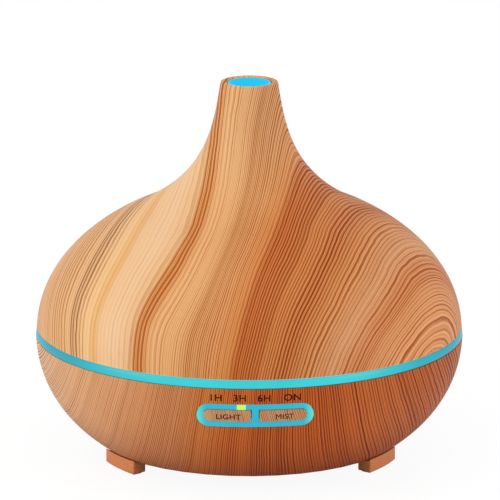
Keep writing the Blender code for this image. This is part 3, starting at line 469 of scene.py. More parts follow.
def add_bump(
    canvas: Canvas, shader: bpy.types.Node, height: object, strength: float, distance: float
) -> None:
    """Feeds a height to the shader's normal."""
    inputs = {"Height": height, "Strength": strength, "Distance": distance}
    canvas.feed(shader.inputs["Normal"], canvas.add("Bump", inputs).outputs["Normal"])


def dress_shader(
    canvas: Canvas, shader: bpy.types.Node, surface: bpy.types.Node, bump: float, depth: float
) -> None:
    """Feeds what a surface group gives to a shader.

    Args:
        canvas: The material's canvas.
        shader: Its Principled shader.
        surface: The group's node, with Color, Roughness and Height.
        bump: The strength of its relief.
        depth: The relief's depth in metres.
    """
    canvas.feed(shader.inputs["Base Color"], surface.outputs["Color"])
    canvas.feed(shader.inputs["Roughness"], surface.outputs["Roughness"])
    add_bump(canvas, shader, surface.outputs["Height"], bump, depth)


@dataclass(frozen=True)
class Stop:
    """The look of the wood at one growth ring."""

    ring: float
    tone: Colour
    late: Colour
    density: float


@dataclass(frozen=True)
class PaintedLight:
    """A tint that comes in from one height to another: light or shade painted into the wood's tone."""

    start: float
    stop: float
    depth: float
    tint: Colour


@dataclass(frozen=True)
class Lean:
    """A drift of the lower rings, which comes in from one height to another."""

    start: float
    stop: float
    drift: float
    full_ring: float
    last_ring: float


@dataclass(frozen=True)
class WoodFinish:
    """A satin wood grain, as if the piece were turned from one block."""

    name: str
    slope: tuple[float, float, float]
    bow: tuple[float, float, float]
    twist: tuple[float, float, float]
    stops: tuple[Stop, ...]
    pitch: float = 0.72 * MM
    strength: float = 1.2
    crowd: tuple[float, float] = (9.0, 0.0)
    sparse: tuple[float, float] = (-9.0, 0.0)
    waver: float = 0.05
    # Light or shade painted into the tone by height, if any.
    painted_light: Optional[PaintedLight] = None
    lean: Optional[Lean] = None

    def make(self, effects: Effects) -> bpy.types.Material:
        """Builds the material.

        Args:
            effects: The shared node groups.

        Returns:
            The finished material.
        """
        canvas, material, shader = new_material(
            self.name, Coat_Weight=0.05, Coat_Roughness=0.36, Specular_IOR_Level=0.12
        )
        place = place_of(canvas)
        rings = {"Place": place, "Slope": self.slope, "Bow": self.bow}
        rings |= {"Twist": self.twist, "Waver": self.waver}
        ring = self._leaned(canvas, place, canvas.group(effects.rings, rings).outputs["Ring"])
        low, high = self.stops[0].ring, self.stops[-1].ring
        span = {"Value": ring, "From Min": low, "From Max": high}
        share = canvas.add("MapRange", span).outputs["Result"]
        spots = [((stop.ring - low) / (high - low), stop) for stop in self.stops]
        tone = canvas.ramp(share, [(spot, stop.tone) for spot, stop in spots])
        # Paints the highlight or shade into the tone by height.
        tone = self._with_painted_light(canvas, place, tone)
        late = canvas.ramp(share, [(spot, stop.late) for spot, stop in spots])
        density = canvas.ramp(share, [(spot, (stop.density,) * 3) for spot, stop in spots])
        inputs = {"Place": place, "Ring": ring, "Tone": tone, "Late Wood": late}
        inputs |= {"Density": density, "Pitch": self.pitch, "Strength": self.strength}
        inputs |= {"Crowd From": self.crowd[0], "Crowding": self.crowd[1]}
        inputs |= {"Sparse Below": self.sparse[0], "Sparseness": self.sparse[1]}
        dress_shader(canvas, shader, canvas.group(effects.grain, inputs), 0.08, 0.04 * MM)
        return material

    def _leaned(
        self, canvas: Canvas, place: bpy.types.NodeSocket, ring: bpy.types.NodeSocket
    ) -> bpy.types.NodeSocket:
        """Lets the lower rings drift with height, where the finish has such a lean.

        Args:
            canvas: The material's canvas.
            place: The place on the piece.
            ring: The ring that it lies on.

        Returns:
            The ring after the drift.
        """
        if self.lean is None:
            return ring
        lean = self.lean
        height = canvas.add("SeparateXYZ", {0: place}).outputs[2]
        drift = canvas.ease(height, lean.start, lean.stop, 0.0, lean.drift)
        share = canvas.ease(ring, lean.full_ring, lean.last_ring, 1.0, 0.0)
        return canvas.math("ADD", ring, canvas.math("MULTIPLY", drift, share))

    def _with_painted_light(
        self, canvas: Canvas, place: bpy.types.NodeSocket, colour: bpy.types.NodeSocket
    ) -> bpy.types.NodeSocket:
        """Paints light or shade into the wood between its lines, from one height to another, where the finish
        has some.

        Args:
            canvas: The material's canvas.
            place: The place on the piece.
            colour: The wood's own tone.

        Returns:
            The tone with the light or shade painted in.
        """
        if self.painted_light is None:
            return colour
        painted_light = self.painted_light
        height = canvas.add("SeparateXYZ", {0: place}).outputs[2]
        return canvas.mix(canvas.ease(height, painted_light.start, painted_light.stop, 0.0, painted_light.depth), colour, painted_light.tint)


@dataclass(frozen=True)
class PlasticFinish:
    """Moulded plastic, rubber, foam or a wire's sleeve."""

    name: str
    colour: Colour
    roughness: float = 0.45
    grain_size: float = 0.25 * MM
    clouding: float = 0.35
    bump: float = 0.25
    transmission: float = 0.0
    specular: float = 0.5

    def make(self, effects: Effects) -> bpy.types.Material:
        """Builds the material from the shared skin group.

        Args:
            effects: The shared node groups.

        Returns:
            The finished material.
        """
        canvas, material, shader = new_material(
            self.name, Transmission_Weight=self.transmission, IOR=1.46, Specular_IOR_Level=self.specular
        )
        inputs = {"Place": place_of(canvas), "Color": self.colour, "Grain Size": self.grain_size}
        inputs |= {"Roughness": self.roughness, "Clouding": self.clouding}
        dress_shader(canvas, shader, canvas.group(effects.skin, inputs), self.bump, 0.03 * MM)
        return material


@dataclass(frozen=True)
class MetalFinish:
    """Bare or plated metal with drawn lines."""

    name: str
    colour: Colour
    roughness: float = 0.28

    def make(self, effects: Effects) -> bpy.types.Material:
        """Builds the material from the shared metal group.

        Args:
            effects: The shared node groups.

        Returns:
            The finished material.
        """
        canvas, material, shader = new_material(self.name, Metallic=1.0)
        inputs = {"Place": place_of(canvas), "Color": self.colour, "Roughness": self.roughness}
        dress_shader(canvas, shader, canvas.group(effects.brush, inputs), 0.15, 0.01 * MM)
        return material


@dataclass(frozen=True)
class GlowFinish:
    """Translucent plastic that is lit from inside, in another tint towards its two ends; on the light ring
    that tint is painted shade on its sides.
    """

    name: str
    colour: Colour
    glow: Colour
    power: float
    ends: Optional[Colour] = None
    reach: tuple[float, float] = (0.0, 1.0)

    def make(self, effects: Effects) -> bpy.types.Material:
        """Builds the material.

        Args:
            effects: The shared node groups.

        Returns:
            The finished material.
        """
        canvas, material, shader = new_material(
            self.name, Specular_IOR_Level=0.3, Emission_Strength=self.power
        )
        place = place_of(canvas)
        inputs = {"Place": place, "Color": self.colour, "Grain Size": 0.4 * MM}
        inputs |= {"Roughness": 0.35, "Clouding": 0.12}
        dress_shader(canvas, shader, canvas.group(effects.skin, inputs), 0.08, 0.02 * MM)
        glow: object = self.glow
        # The tint towards the ends: on the light ring it is painted shade where its sides turn away.
        if self.ends is not None:
            across = canvas.math("ABSOLUTE", canvas.add("SeparateXYZ", {0: place}).outputs[0])
            glow = canvas.mix(canvas.ease(across, *self.reach), self.glow, self.ends)
        dim = canvas.ease(canvas.noise(place, 45.0, 2.0), 0.3, 0.7, 0.0, 0.12)
        canvas.feed(shader.inputs["Emission Color"], canvas.mix(dim, glow, self.colour))
        return material


COVER_WOOD = WoodFinish(
    name="cover_wood",
    slope=(1.0, -0.84, 0.52),
    bow=(-0.16, -0.11, -0.10),
    twist=(0.14, 0.25, -0.11),
    crowd=(1.46, 0.8),
    sparse=(0.50, 0.66),
    strength=1.45,
    # Paler towards the top of the neck: a painted highlight.
    painted_light=PaintedLight(96 * MM, 124 * MM, 0.30, srgb(238, 198, 150)),
    lean=Lean(62 * MM, 98 * MM, -0.22, 0.45, 0.95),
    stops=(
        Stop(-1.20, srgb(228, 176, 126), srgb(184, 118, 64), 0.50),
        Stop(-0.62, srgb(232, 182, 126), srgb(172, 108, 56), 0.60),
        Stop(-0.54, srgb(236, 188, 134), srgb(176, 112, 60), 0.40),
        Stop(-0.48, srgb(230, 182, 130), srgb(150, 92, 44), 0.80),
        Stop(-0.41, srgb(234, 188, 136), srgb(158, 98, 48), 0.75),
        Stop(-0.33, srgb(238, 192, 140), srgb(184, 122, 66), 0.45),
        Stop(-0.24, srgb(234, 190, 138), srgb(206, 146, 84), 0.20),
        Stop(-0.17, srgb(228, 176, 112), srgb(206, 138, 66), 0.60),
        Stop(-0.12, srgb(232, 186, 138), srgb(206, 146, 90), 0.15),
        Stop(0.06, srgb(236, 196, 152), srgb(204, 146, 92), 0.25),
        Stop(0.22, srgb(230, 182, 132), srgb(186, 116, 60), 0.35),
        Stop(0.28, srgb(216, 148, 80), srgb(166, 80, 18), 1.00),
        Stop(0.34, srgb(218, 152, 88), srgb(170, 86, 24), 0.85),
        Stop(0.40, srgb(230, 176, 118), srgb(182, 104, 44), 0.40),
        Stop(0.62, srgb(232, 178, 120), srgb(176, 98, 40), 0.55),
        Stop(0.68, srgb(228, 168, 108), srgb(160, 84, 28), 0.90),
        Stop(0.84, srgb(226, 162, 102), srgb(166, 86, 28), 0.85),
        Stop(0.93, srgb(216, 144, 80), srgb(176, 92, 32), 0.60),
        Stop(0.98, srgb(210, 124, 58), srgb(148, 56, 6), 1.00),
        Stop(1.05, srgb(216, 132, 66), srgb(146, 58, 8), 0.95),
        Stop(1.12, srgb(222, 146, 82), srgb(160, 76, 20), 0.80),
        Stop(1.22, srgb(220, 138, 74), srgb(140, 56, 8), 1.00),
        Stop(1.30, srgb(222, 150, 90), srgb(160, 82, 30), 0.70),
        Stop(1.41, srgb(224, 162, 112), srgb(166, 92, 44), 0.50),
        Stop(1.48, srgb(218, 144, 88), srgb(166, 80, 30), 0.80),
        Stop(1.54, srgb(232, 164, 108), srgb(166, 86, 38), 0.55),
        Stop(1.75, srgb(238, 164, 112), srgb(146, 68, 28), 0.75),
    ),
)
BASE_WOOD = WoodFinish(
    name="base_wood",
    slope=(1.0, 0.21, -0.72),
    bow=(-0.03, 0.26, 0.29),
    twist=(0.05, -0.04, 0.30),
    pitch=0.95 * MM,
    stops=(
        Stop(-2.50, srgb(236, 190, 148), srgb(160, 100, 56), 0.70),
        Stop(-1.90, srgb(232, 176, 128), srgb(160, 98, 56), 0.60),
        Stop(-1.40, srgb(226, 164, 114), srgb(158, 92, 48), 0.60),
        Stop(-1.00, srgb(220, 150, 94), srgb(146, 72, 30), 0.75),
        Stop(-0.70, srgb(216, 142, 88), srgb(138, 66, 26), 0.75),
        Stop(-0.50, srgb(222, 136, 66), srgb(138, 54, 10), 0.85),
        Stop(-0.20, srgb(220, 118, 44), srgb(126, 34, 2), 0.95),
        Stop(0.10, srgb(212, 112, 42), srgb(126, 38, 4), 0.85),
        Stop(0.50, srgb(208, 100, 34), srgb(114, 36, 6), 0.85),
        Stop(0.97, srgb(208, 114, 54), srgb(124, 46, 12), 0.75),
        Stop(1.25, srgb(202, 104, 44), srgb(112, 36, 8), 0.85),
        Stop(1.50, srgb(204, 112, 54), srgb(124, 50, 16), 0.75),
    ),
    # Darker towards the foot: painted shade under the base.
    painted_light=PaintedLight(30 * MM, 5 * MM, 0.25, srgb(120, 40, 6)),
)
BUTTON_WOOD = WoodFinish(
    name="button_wood",
    slope=(1.0, 0.21, -0.12),
    bow=(-0.03, 0.26, 0.09),
    twist=(0.05, -0.04, 0.10),
    stops=(
        Stop(-1.00, srgb(222, 176, 130), srgb(150, 92, 52), 0.60),
        Stop(1.00, srgb(214, 156, 108), srgb(140, 78, 40), 0.75),
    ),
)
FOOT_WOOD = WoodFinish(
    name="foot_wood",
    slope=(0.3, 0.1, 1.0),
    bow=(0.02, 0.05, 0.0),
    twist=(0.05, 0.0, 0.0),
    stops=(
        Stop(-1.00, srgb(230, 150, 98), srgb(176, 104, 60), 0.35),
        Stop(1.00, srgb(224, 144, 94), srgb(168, 96, 56), 0.35),
    ),
)

PLASTICS = (
    PlasticFinish("cover_lining", srgb(232, 222, 204), 0.5),
    PlasticFinish("frosted", srgb(236, 242, 242), 0.38, 0.6 * MM, 0.1, 0.15, 0.55),
    PlasticFinish("rubber", srgb(34, 33, 32), 0.78, 0.3 * MM, 0.4, 0.5),
    PlasticFinish("silicone", srgb(206, 204, 198), 0.55),
    PlasticFinish("black_plastic", srgb(30, 30, 32), 0.5, 0.35 * MM, 0.3, 0.45),
    PlasticFinish("white_plastic", srgb(226, 225, 220), 0.35),
    PlasticFinish("circuit_board", srgb(24, 92, 52), 0.35, 0.8 * MM, 0.5, 0.3),
    PlasticFinish("ferrite", srgb(52, 52, 56), 0.65, 0.3 * MM, 0.5, 0.5),
    PlasticFinish("foam", srgb(44, 44, 46), 0.95, 0.5 * MM, 0.6, 1.0),
    PlasticFinish("wire", srgb(188, 34, 28), 0.45, 1.2 * MM, 0.2, 0.1),
    PlasticFinish("print", srgb(44, 10, 6), 0.85, 0.3 * MM, 0.3, 0.2, 0.0, 0.06),
)
METALS = (
    MetalFinish("steel", srgb(196, 196, 198)),
    MetalFinish("brass", srgb(214, 186, 120)),
    MetalFinish("aluminium", srgb(206, 207, 210), 0.38),
)
GLOWS = (
    GlowFinish(
        "glow_ring",
        srgb(8, 92, 106),
        srgb(56, 206, 211),
        0.85,
        # Darker towards the ends: painted shade on the ring's sides.
        ends=srgb(6, 146, 164),
        reach=(36 * MM, 82 * MM),
    ),
    GlowFinish(
        "glow_frame",
        srgb(6, 70, 84),
        srgb(38, 186, 212),
        0.87,
        ends=srgb(100, 234, 206),
        reach=(18 * MM, 22.5 * MM),
    ),
    GlowFinish("glow_liner", srgb(12, 90, 118), srgb(42, 198, 238), 0.88),
    GlowFinish("lime_lens", srgb(96, 126, 56), srgb(190, 240, 112), 0.9),
)


class Palette:
    """Every material of the object, by name."""

    def __init__(self) -> None:
        """Builds the shared effects and each finish."""
        effects = Effects()
        finishes = (COVER_WOOD, BASE_WOOD, BUTTON_WOOD, FOOT_WOOD, *PLASTICS, *METALS, *GLOWS)
        self.materials = {finish.name: finish.make(effects) for finish in finishes}

    def __getitem__(self, name: str) -> bpy.types.Material:
        """The material of this name."""
        return self.materials[name]


# ---- Mesh work ----


def link_object(name: str, mesh: bpy.types.Mesh) -> bpy.types.Object:
    """Adds a mesh to the scene as a named object."""
    obj = bpy.data.objects.new(name, mesh)
    bpy.context.scene.collection.objects.link(obj)
    return obj


def evaluated_mesh(obj: bpy.types.Object) -> bpy.types.Mesh:
    """The object's mesh with its modifiers applied."""
    bpy.context.view_layer.update()
    graph = bpy.context.evaluated_depsgraph_get()
    return bpy.data.meshes.new_from_object(obj.evaluated_get(graph))


def settle(obj: bpy.types.Object) -> bpy.types.Object:
    """Applies an object's modifiers, and shades it smoothly between its creases.

    Args:
        obj: The object to settle.

    Returns:
        The same object.
    """
    mesh = evaluated_mesh(obj)
    obj.modifiers.clear()
    obj.data = mesh
    mesh.shade_smooth()
    mesh.set_sharp_from_angle(angle=CREASE)
    return obj


def combine(obj: bpy.types.Object, merge: Merge, *others: bpy.types.Object) -> bpy.types.Object:
    """Joins others to an object, or cuts them out of it, and removes them.

    Args:
        obj: The object that stays.
        merge: Whether they are joined to it or cut out of it.
        *others: The closed meshes to use up.

    Returns:
        The same object.
    """
    for other in others:
        modifier = obj.modifiers.new("combine", "BOOLEAN")
        modifier.operation, modifier.object = merge.value, other
        settle(obj)
        bpy.data.objects.remove(other)
    return obj


def soften(obj: bpy.types.Object, width: float) -> bpy.types.Object:
    """Rounds an object's sharp edges.

    Args:
        obj: The object to soften.
        width: The width of the rounding.

    Returns:
        The same object.
    """
    bevel = obj.modifiers.new("soft edges", "BEVEL")
    bevel.width, bevel.segments = width, 3
    bevel.limit_method, bevel.angle_limit = "ANGLE", CREASE
    return settle(obj)


def bezier(points: Sequence[tuple[float, float]], count: int) -> Profile:
    """Points along a cubic curve, given in millimetres by its ends and handles.

    Args:
        points: The two ends, with the two handles between them.
        count: How many spans the curve is cut into.

    Returns:
        The points, in metres.
    """
    first, second, third, last = (Vector(p) * MM for p in points)
    found = []
    for step in range(count + 1):
        t = step / count
        s = 1 - t
        found.append(s**3 * first + 3 * s * s * t * second + 3 * s * t * t * third + t**3 * last)
    return found


def offset(line: Profile, distance: float) -> Profile:
    """A profile moved sideways.

    Args:
        line: The profile.
        distance: How far it moves to its left.

    Returns:
        The moved profile.
    """
    moved = []
    for index, point in enumerate(line):
        along = line[min(index + 1, len(line) - 1)] - line[max(index - 1, 0)]
        moved.append(point + Vector((-along.y, along.x)).normalized() * distance)
    return moved


def rounded(corners: Sequence[tuple[float, float, float]], steps: int = 4) -> Profile:
    """A closed section with rounded corners.

    Args:
        corners: Each corner's radius from the axis, height and rounding, in millimetres.
        steps: Spans in each rounded corner.

    Returns:
        The section's points, in metres.
    """
    found: Profile = []
    count = len(corners)
    for index, (radius, height, rounding) in enumerate(corners):
        here = Vector((radius, height))
        before = Vector(corners[index - 1][:2]) - here
        after = Vector(corners[(index + 1) % count][:2]) - here
        reach = min(rounding, before.length * 0.45, after.length * 0.45)
        if reach <= 0.0:
            found.append(here * MM)
            continue
        start, end = here + before.normalized() * reach, here + after.normalized() * reach
        for step in range(steps + 1):
            t = step / steps
            point = (1 - t) ** 2 * start + 2 * (1 - t) * t * here + t**2 * end
            found.append(point * MM)
    return found


def section_object(name: str, section: Profile) -> bpy.types.Object:
    """Draws a closed section as a wire in the XZ plane.

    Args:
        name: The new object's name.
        section: Points of radius and height.

    Returns:
        The wire.
    """
    mesh = bpy.data.meshes.new(name)
    count = len(section)
    edges = [(index, (index + 1) % count) for index in range(count)]
    mesh.from_pydata([(point.x, 0.0, point.y) for point in section], edges, [])
    return link_object(name, mesh)


def lathe(name: str, section: Profile, steps: int) -> bpy.types.Object:
    """Turns a closed section all the way round the vertical axis.

    Args:
        name: The new object's name.
        section: Points of radius and height, down the outer side first.
        steps: Facets round the axis.

    Returns:
        The turned object.
    """
    obj = section_object(name, section)
    screw = obj.modifiers.new("turn", "SCREW")
    screw.steps = screw.render_steps = steps
    screw.use_merge_vertices, screw.merge_threshold = True, 1e-6
    return settle(obj)


def sector(
    name: str, section: Profile, angle: float, spread: float, steps: int = 24
) -> bpy.types.Object:
    """Turns a closed section part of the way round the vertical axis, with flat ends.

    Args:
        name: The new object's name.
        section: Points of radius and height, down the outer side first.
        angle: The middle of the span, in radians.
        spread: The whole span, in radians.
        steps: Facets along the span.

    Returns:
        The closed piece.
    """
    obj = section_object(name, section)
    turn = obj.modifiers.new("turn", "SCREW")
    turn.angle, turn.steps, turn.render_steps = spread, steps, steps
    settle(obj)
    shape = bmesh.new()
    shape.from_mesh(obj.data)
    open_edges = [edge for edge in shape.edges if edge.is_boundary]
    bmesh.ops.holes_fill(shape, edges=open_edges, sides=0)
    bmesh.ops.recalc_face_normals(shape, faces=shape.faces)
    shape.to_mesh(obj.data)
    shape.free()
    obj.data.transform(Matrix.Rotation(angle - spread / 2, 4, "Z"))
    return obj


def rod(name: str, radius: float, depth: float, place: Matrix) -> bpy.types.Object:
    """A round rod, drawn along Z about its middle and then placed.

    Args:
        name: The new object's name.
        radius: Its radius in metres.
        depth: Its length in metres.
        place: Where it goes.

    Returns:
        The rod.
    """
    mesh = bpy.data.meshes.new(name)
    shape = bmesh.new()
    bmesh.ops.create_cone(
        shape, cap_ends=True, segments=48, radius1=radius, radius2=radius, depth=depth
    )
    shape.to_mesh(mesh)
    shape.free()
    mesh.transform(place)
    return link_object(name, mesh)


def outline_mesh(
    name: str, outlines: Sequence[Outline], depth: float, edge: float
) -> bpy.types.Object:
    """Fills flat outlines and thickens them, with rounded edges.

    Args:
        name: The new object's name.
        outlines: Closed lines of (x, y) points in metres; inner ones are holes.
        depth: The slab's full thickness.
        edge: The rounding of its edges.

    Returns:
        A slab whose faces lie at plus and minus half its thickness.
    """
    curve = bpy.data.curves.new(name, "CURVE")
    curve.dimensions, curve.fill_mode = "2D", "BOTH"
    curve.extrude, curve.bevel_depth, curve.bevel_resolution = depth / 2 - edge, edge, 2
    curve.offset = -edge
    for outline in outlines:
        spline = curve.splines.new("POLY")
        spline.points.add(len(outline) - 1)
        spline.use_cyclic_u = True
        for target, point in zip(spline.points, outline):
            target.co = (*point, 0.0, 1.0)
    flat = bpy.data.objects.new(name, curve)
    bpy.context.scene.collection.objects.link(flat)
    mesh = evaluated_mesh(flat)
    bpy.data.objects.remove(flat)
    shape = bmesh.new()
    shape.from_mesh(mesh)
    bmesh.ops.remove_doubles(shape, verts=shape.verts, dist=1e-6)
    shape.to_mesh(mesh)
    shape.free()
    return link_object(name, mesh)


def slice_mesh(obj: bpy.types.Object, pitch: float) -> None:
    """Cuts a flat mesh along X and Y at an even pitch, so that it can bend.

    Args:
        obj: The object to cut.
        pitch: The distance between the cuts.
    """
    shape = bmesh.new()
    shape.from_mesh(obj.data)
    for axis in (0, 1):
        values = [vert.co[axis] for vert in shape.verts]
        place = math.ceil(min(values) / pitch) * pitch
        while place < max(values):
            point, normal = Vector((0, 0, 0)), Vector((0, 0, 0))
            point[axis], normal[axis] = place, 1.0
            geometry = [*shape.verts, *shape.edges, *shape.faces]
            bmesh.ops.bisect_plane(shape, geom=geometry, dist=1e-7, plane_co=point, plane_no=normal)
            place += pitch
    shape.to_mesh(obj.data)
    shape.free()


def capsule(
    left: float, right: float, half: float, left_round: bool = True, right_round: bool = True
) -> Outline:
    """The outline of a bar with round or square ends, centred on the X axis.

    Args:
        left: Where its left end lies along X.
        right: Where its right end lies along X.
        half: Half its height.
        left_round: Whether its left end is round.
        right_round: Whether its right end is round.

    Returns:
        The outline's points.
    """
    steps = 16
    points: Outline = []
    for side, edge, is_round in ((1.0, right, right_round), (-1.0, left, left_round)):
        if not is_round:
            points += [(edge, -side * half), (edge, side * half)]
            continue
        middle = edge - side * half
        for step in range(steps + 1):
            angle = math.pi * (step / steps - 0.5)
            points.append((middle + side * half * math.cos(angle), side * half * math.sin(angle)))
    return points


def mid_height(node: str) -> float:
    """The height of the middle of a node of the frame."""
    low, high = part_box(node)
    return (low.z + high.z) / 2


def dress(
    obj: bpy.types.Object,
    body: Body,
    material: bpy.types.Material,
    replaces: Sequence[str] = (),
) -> bpy.types.Object:
    """Gives a piece its looks and its place in the model, and reports it.

    Args:
        obj: The piece.
        body: The body that it rides on.
        material: Its material.
        replaces: The frame's nodes that it stands for.

    Returns:
        The same piece.
    """
    obj.data.materials.clear()
    obj.data.materials.append(material)
    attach(obj, body.value)
    if replaces:
        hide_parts(*replaces)
    LOG.info("%s: %d faces on %s", obj.name, len(obj.data.polygons), body.value)
    return obj


# ---- The body's shape ----


@dataclass(frozen=True)
class BodyShape:
    """The profile that the cover and the base share, and ways to lay flat work on the base."""

    wall: float = 2.4
    base_curve: tuple = ((82.9, 46.5), (82.2, 24.3), (67.7, 11.6), (58.3, 5.5))
    belly_curve: tuple = ((82.55, 50.0), (80.5, 83.8), (41.6, 97.6), (40.9, 98.0))
    neck_curve: tuple = ((40.9, 98.0), (18.8, 110.0), (14.0, 124.8), (11.1, 146.5))

    def cover_line(self) -> Profile:
        """The cover's outside, from its rim down to the light ring."""
        spans = 44
        line = bezier(self.belly_curve, spans)[:-1] + bezier(self.neck_curve, spans)
        return line[::-1]

    def base_line(self) -> Profile:
        """The base's outside, from the light ring down to its lower edge."""
        return bezier(self.base_curve, 40)

    def base_radius(self, height: float) -> float:
        """The base's radius at a height.

        Args:
            height: The height in metres.

        Returns:
            The radius in metres.
        """
        line = self.base_line()
        for upper, lower in zip(line, line[1:]):
            if lower.y <= height <= upper.y:
                share = (height - lower.y) / (upper.y - lower.y)
                return lower.x + (upper.x - lower.x) * share
        return line[0].x

    def on_base(self, across: float, height: float, proud: float) -> Vector:
        """The point in front of the base's surface.

        Args:
            across: The point's X.
            height: Its height before it is moved out.
            proud: How far it stands out along the surface's normal.

        Returns:
            The point.
        """
        step = 0.2 * MM
        radius = self.base_radius(height)
        slope = (self.base_radius(height + step) - self.base_radius(height - step)) / (2 * step)
        back = -math.sqrt(radius**2 - across**2)
        normal = Vector((across / radius, back / radius, -slope)).normalized()
        return Vector((across, back, height)) + normal * proud


SHAPE = BodyShape()


def wrap_on_base(
    obj: bpy.types.Object, centre: float, proud: float, pitch: float = 1.0 * MM
) -> None:
    """Bends a flat slab round the front of the base.

    Args:
        obj: The slab, drawn in X and Y, with its thickness along Z.
        centre: The height at which its Y axis starts.
        proud: How far its outer face stands out of the base's surface.
        pitch: The width of the strips that it is cut into first.
    """
    slice_mesh(obj, pitch)
    top = max(vert.co.z for vert in obj.data.vertices)
    for vert in obj.data.vertices:
        vert.co = SHAPE.on_base(vert.co.x, centre + vert.co.y, proud + vert.co.z - top)
    obj.data.update()
    settle(obj)


# ---- Sub-assemblies ----


@dataclass
class Cover:
    """The lift-off wooden cover and the lit liner in its neck."""

    palette: Palette
    shape: BodyShape = SHAPE
    rim_round: float = 0.7 * MM
    rim_depth: float = 2 * MM
    foot_bevel: tuple[float, float] = (0.2 * MM, 0.15 * MM)
    liner_gap: float = 0.3
    liner_wall: float = 0.8
    liner_spans: int = 20

    def build(self) -> None:
        """Builds both pieces."""
        self._shell()
        self._liner()

    def _shell(self) -> None:
        """The wooden shell, with a soft rim, and a pale lining inside."""
        outside = self.shape.cover_line()
        inside = offset(outside, -self.shape.wall * MM)
        inside[-1].y = outside[-1].y
        top = outside[0].y
        # The rim's points from inside to outside, in roundings in from the wall and down.
        inner_rim = [(0.0, 1.0), (0.2, 0.3), (0.8, 0.0)]
        outer_rim = [(0.9, 0.0), (0.25, 0.25)]
        size = self.rim_round
        rim = [Vector((inside[0].x + across * size, top - down * size)) for across, down in inner_rim]
        rim += [Vector((outside[0].x - across * size, top - down * size)) for across, down in outer_rim]
        body = [point for point in outside if point.y < top - self.rim_round]
        inset, rise = self.foot_bevel
        body[-1] = Vector((outside[-1].x, outside[-1].y + rise))
        foot = [Vector((outside[-1].x - inset, outside[-1].y))]
        lining = [point for point in inside[::-1] if point.y < top - 1.5 * self.rim_round]
        obj = lathe("outer_cover_wood", [*rim, *body, *foot, *lining], 192)
        dress(obj, Body.COVER, self.palette["cover_wood"], ["outer_cover"])
        obj.data.materials.append(self.palette["cover_lining"])
        for face in obj.data.polygons:
            radius = face.center.xy.length
            outward = face.normal.xy.dot(face.center.xy) / radius + face.normal.z
            near_rim = face.center.z > top - self.rim_depth
            face.material_index = 0 if outward > 0 or near_rim else 1

    def _liner(self) -> None:
        """The translucent sleeve inside the neck."""
        neck = bezier(self.shape.neck_curve, 2 * self.liner_spans)[::-1]
        line = offset(neck, -(self.shape.wall + self.liner_gap) * MM)[: self.liner_spans + 1]
        inner = offset(line, -self.liner_wall * MM)
        top = line[0].y
        lip_outer = Vector((line[0].x - 0.25 * MM, top))
        lip_inner = Vector((inner[0].x + 0.2 * MM, top))
        section = [lip_outer, *line[1:], *inner[:0:-1], lip_inner]
        obj = lathe("nozzle_liner_glow", section, 96)
        dress(obj, Body.COVER, self.palette["glow_liner"], ["nozzle_liner"])


@dataclass
class SplashCover:
    """The frosted cover that keeps splashes in the tank, with its mist chimney."""

    palette: Palette
    wall: float = 1.5
    dome: tuple = ((12.0, 76.0), (20.0, 70.0), (60.0, 70.0), (76.8, 56.0))
    chimney_radius: float = 9.5
    lip_radius: float = 66.8
    lip_depth: float = 3.0

    def build(self) -> None:
        """Builds the cover as one turned piece with a rolled rim."""
        low, high = (corner.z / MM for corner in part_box("inner_cover"))
        edge = low + self.lip_depth
        curve = bezier(self.dome, 40)
        outer = [(point.x / MM, point.y / MM, 0.0) for point in curve[1:-1]]
        lining = offset(curve, -self.wall * MM)[1:-1]
        inner = [(point.x / MM, point.y / MM, 0.0) for point in lining]
        lip_inner = self.lip_radius - self.wall
        inner = [point for point in inner if point[0] < lip_inner - self.wall]
        corners = [
            (self.chimney_radius - self.wall, high, 0.6),
            (self.chimney_radius + 0.35, high, 0.6),
            (self.chimney_radius + 0.35, high - 1.4, 0.3),
            (self.chimney_radius + 0.05, high - 1.9, 0.3),
            (self.dome[0][0] - 0.1, self.dome[0][1] + 1.5, 0.0),
            *outer,
            (*self.dome[-1], 0.8),
            (self.dome[-1][0], edge, 0.4),
            (self.lip_radius, edge, 0.0),
            (self.lip_radius, low, 0.4),
            (lip_inner, low, 0.4),
            (lip_inner, edge + self.wall, 0.8),
            *inner[::-1],
            (self.dome[0][0] - self.wall, self.dome[0][1] + 1.0, 0.0),
        ]
        obj = lathe("inner_cover_frosted", rounded(corners), 144)
        dress(obj, Body.SPLASH_COVER, self.palette["frosted"], ["inner_cover"])


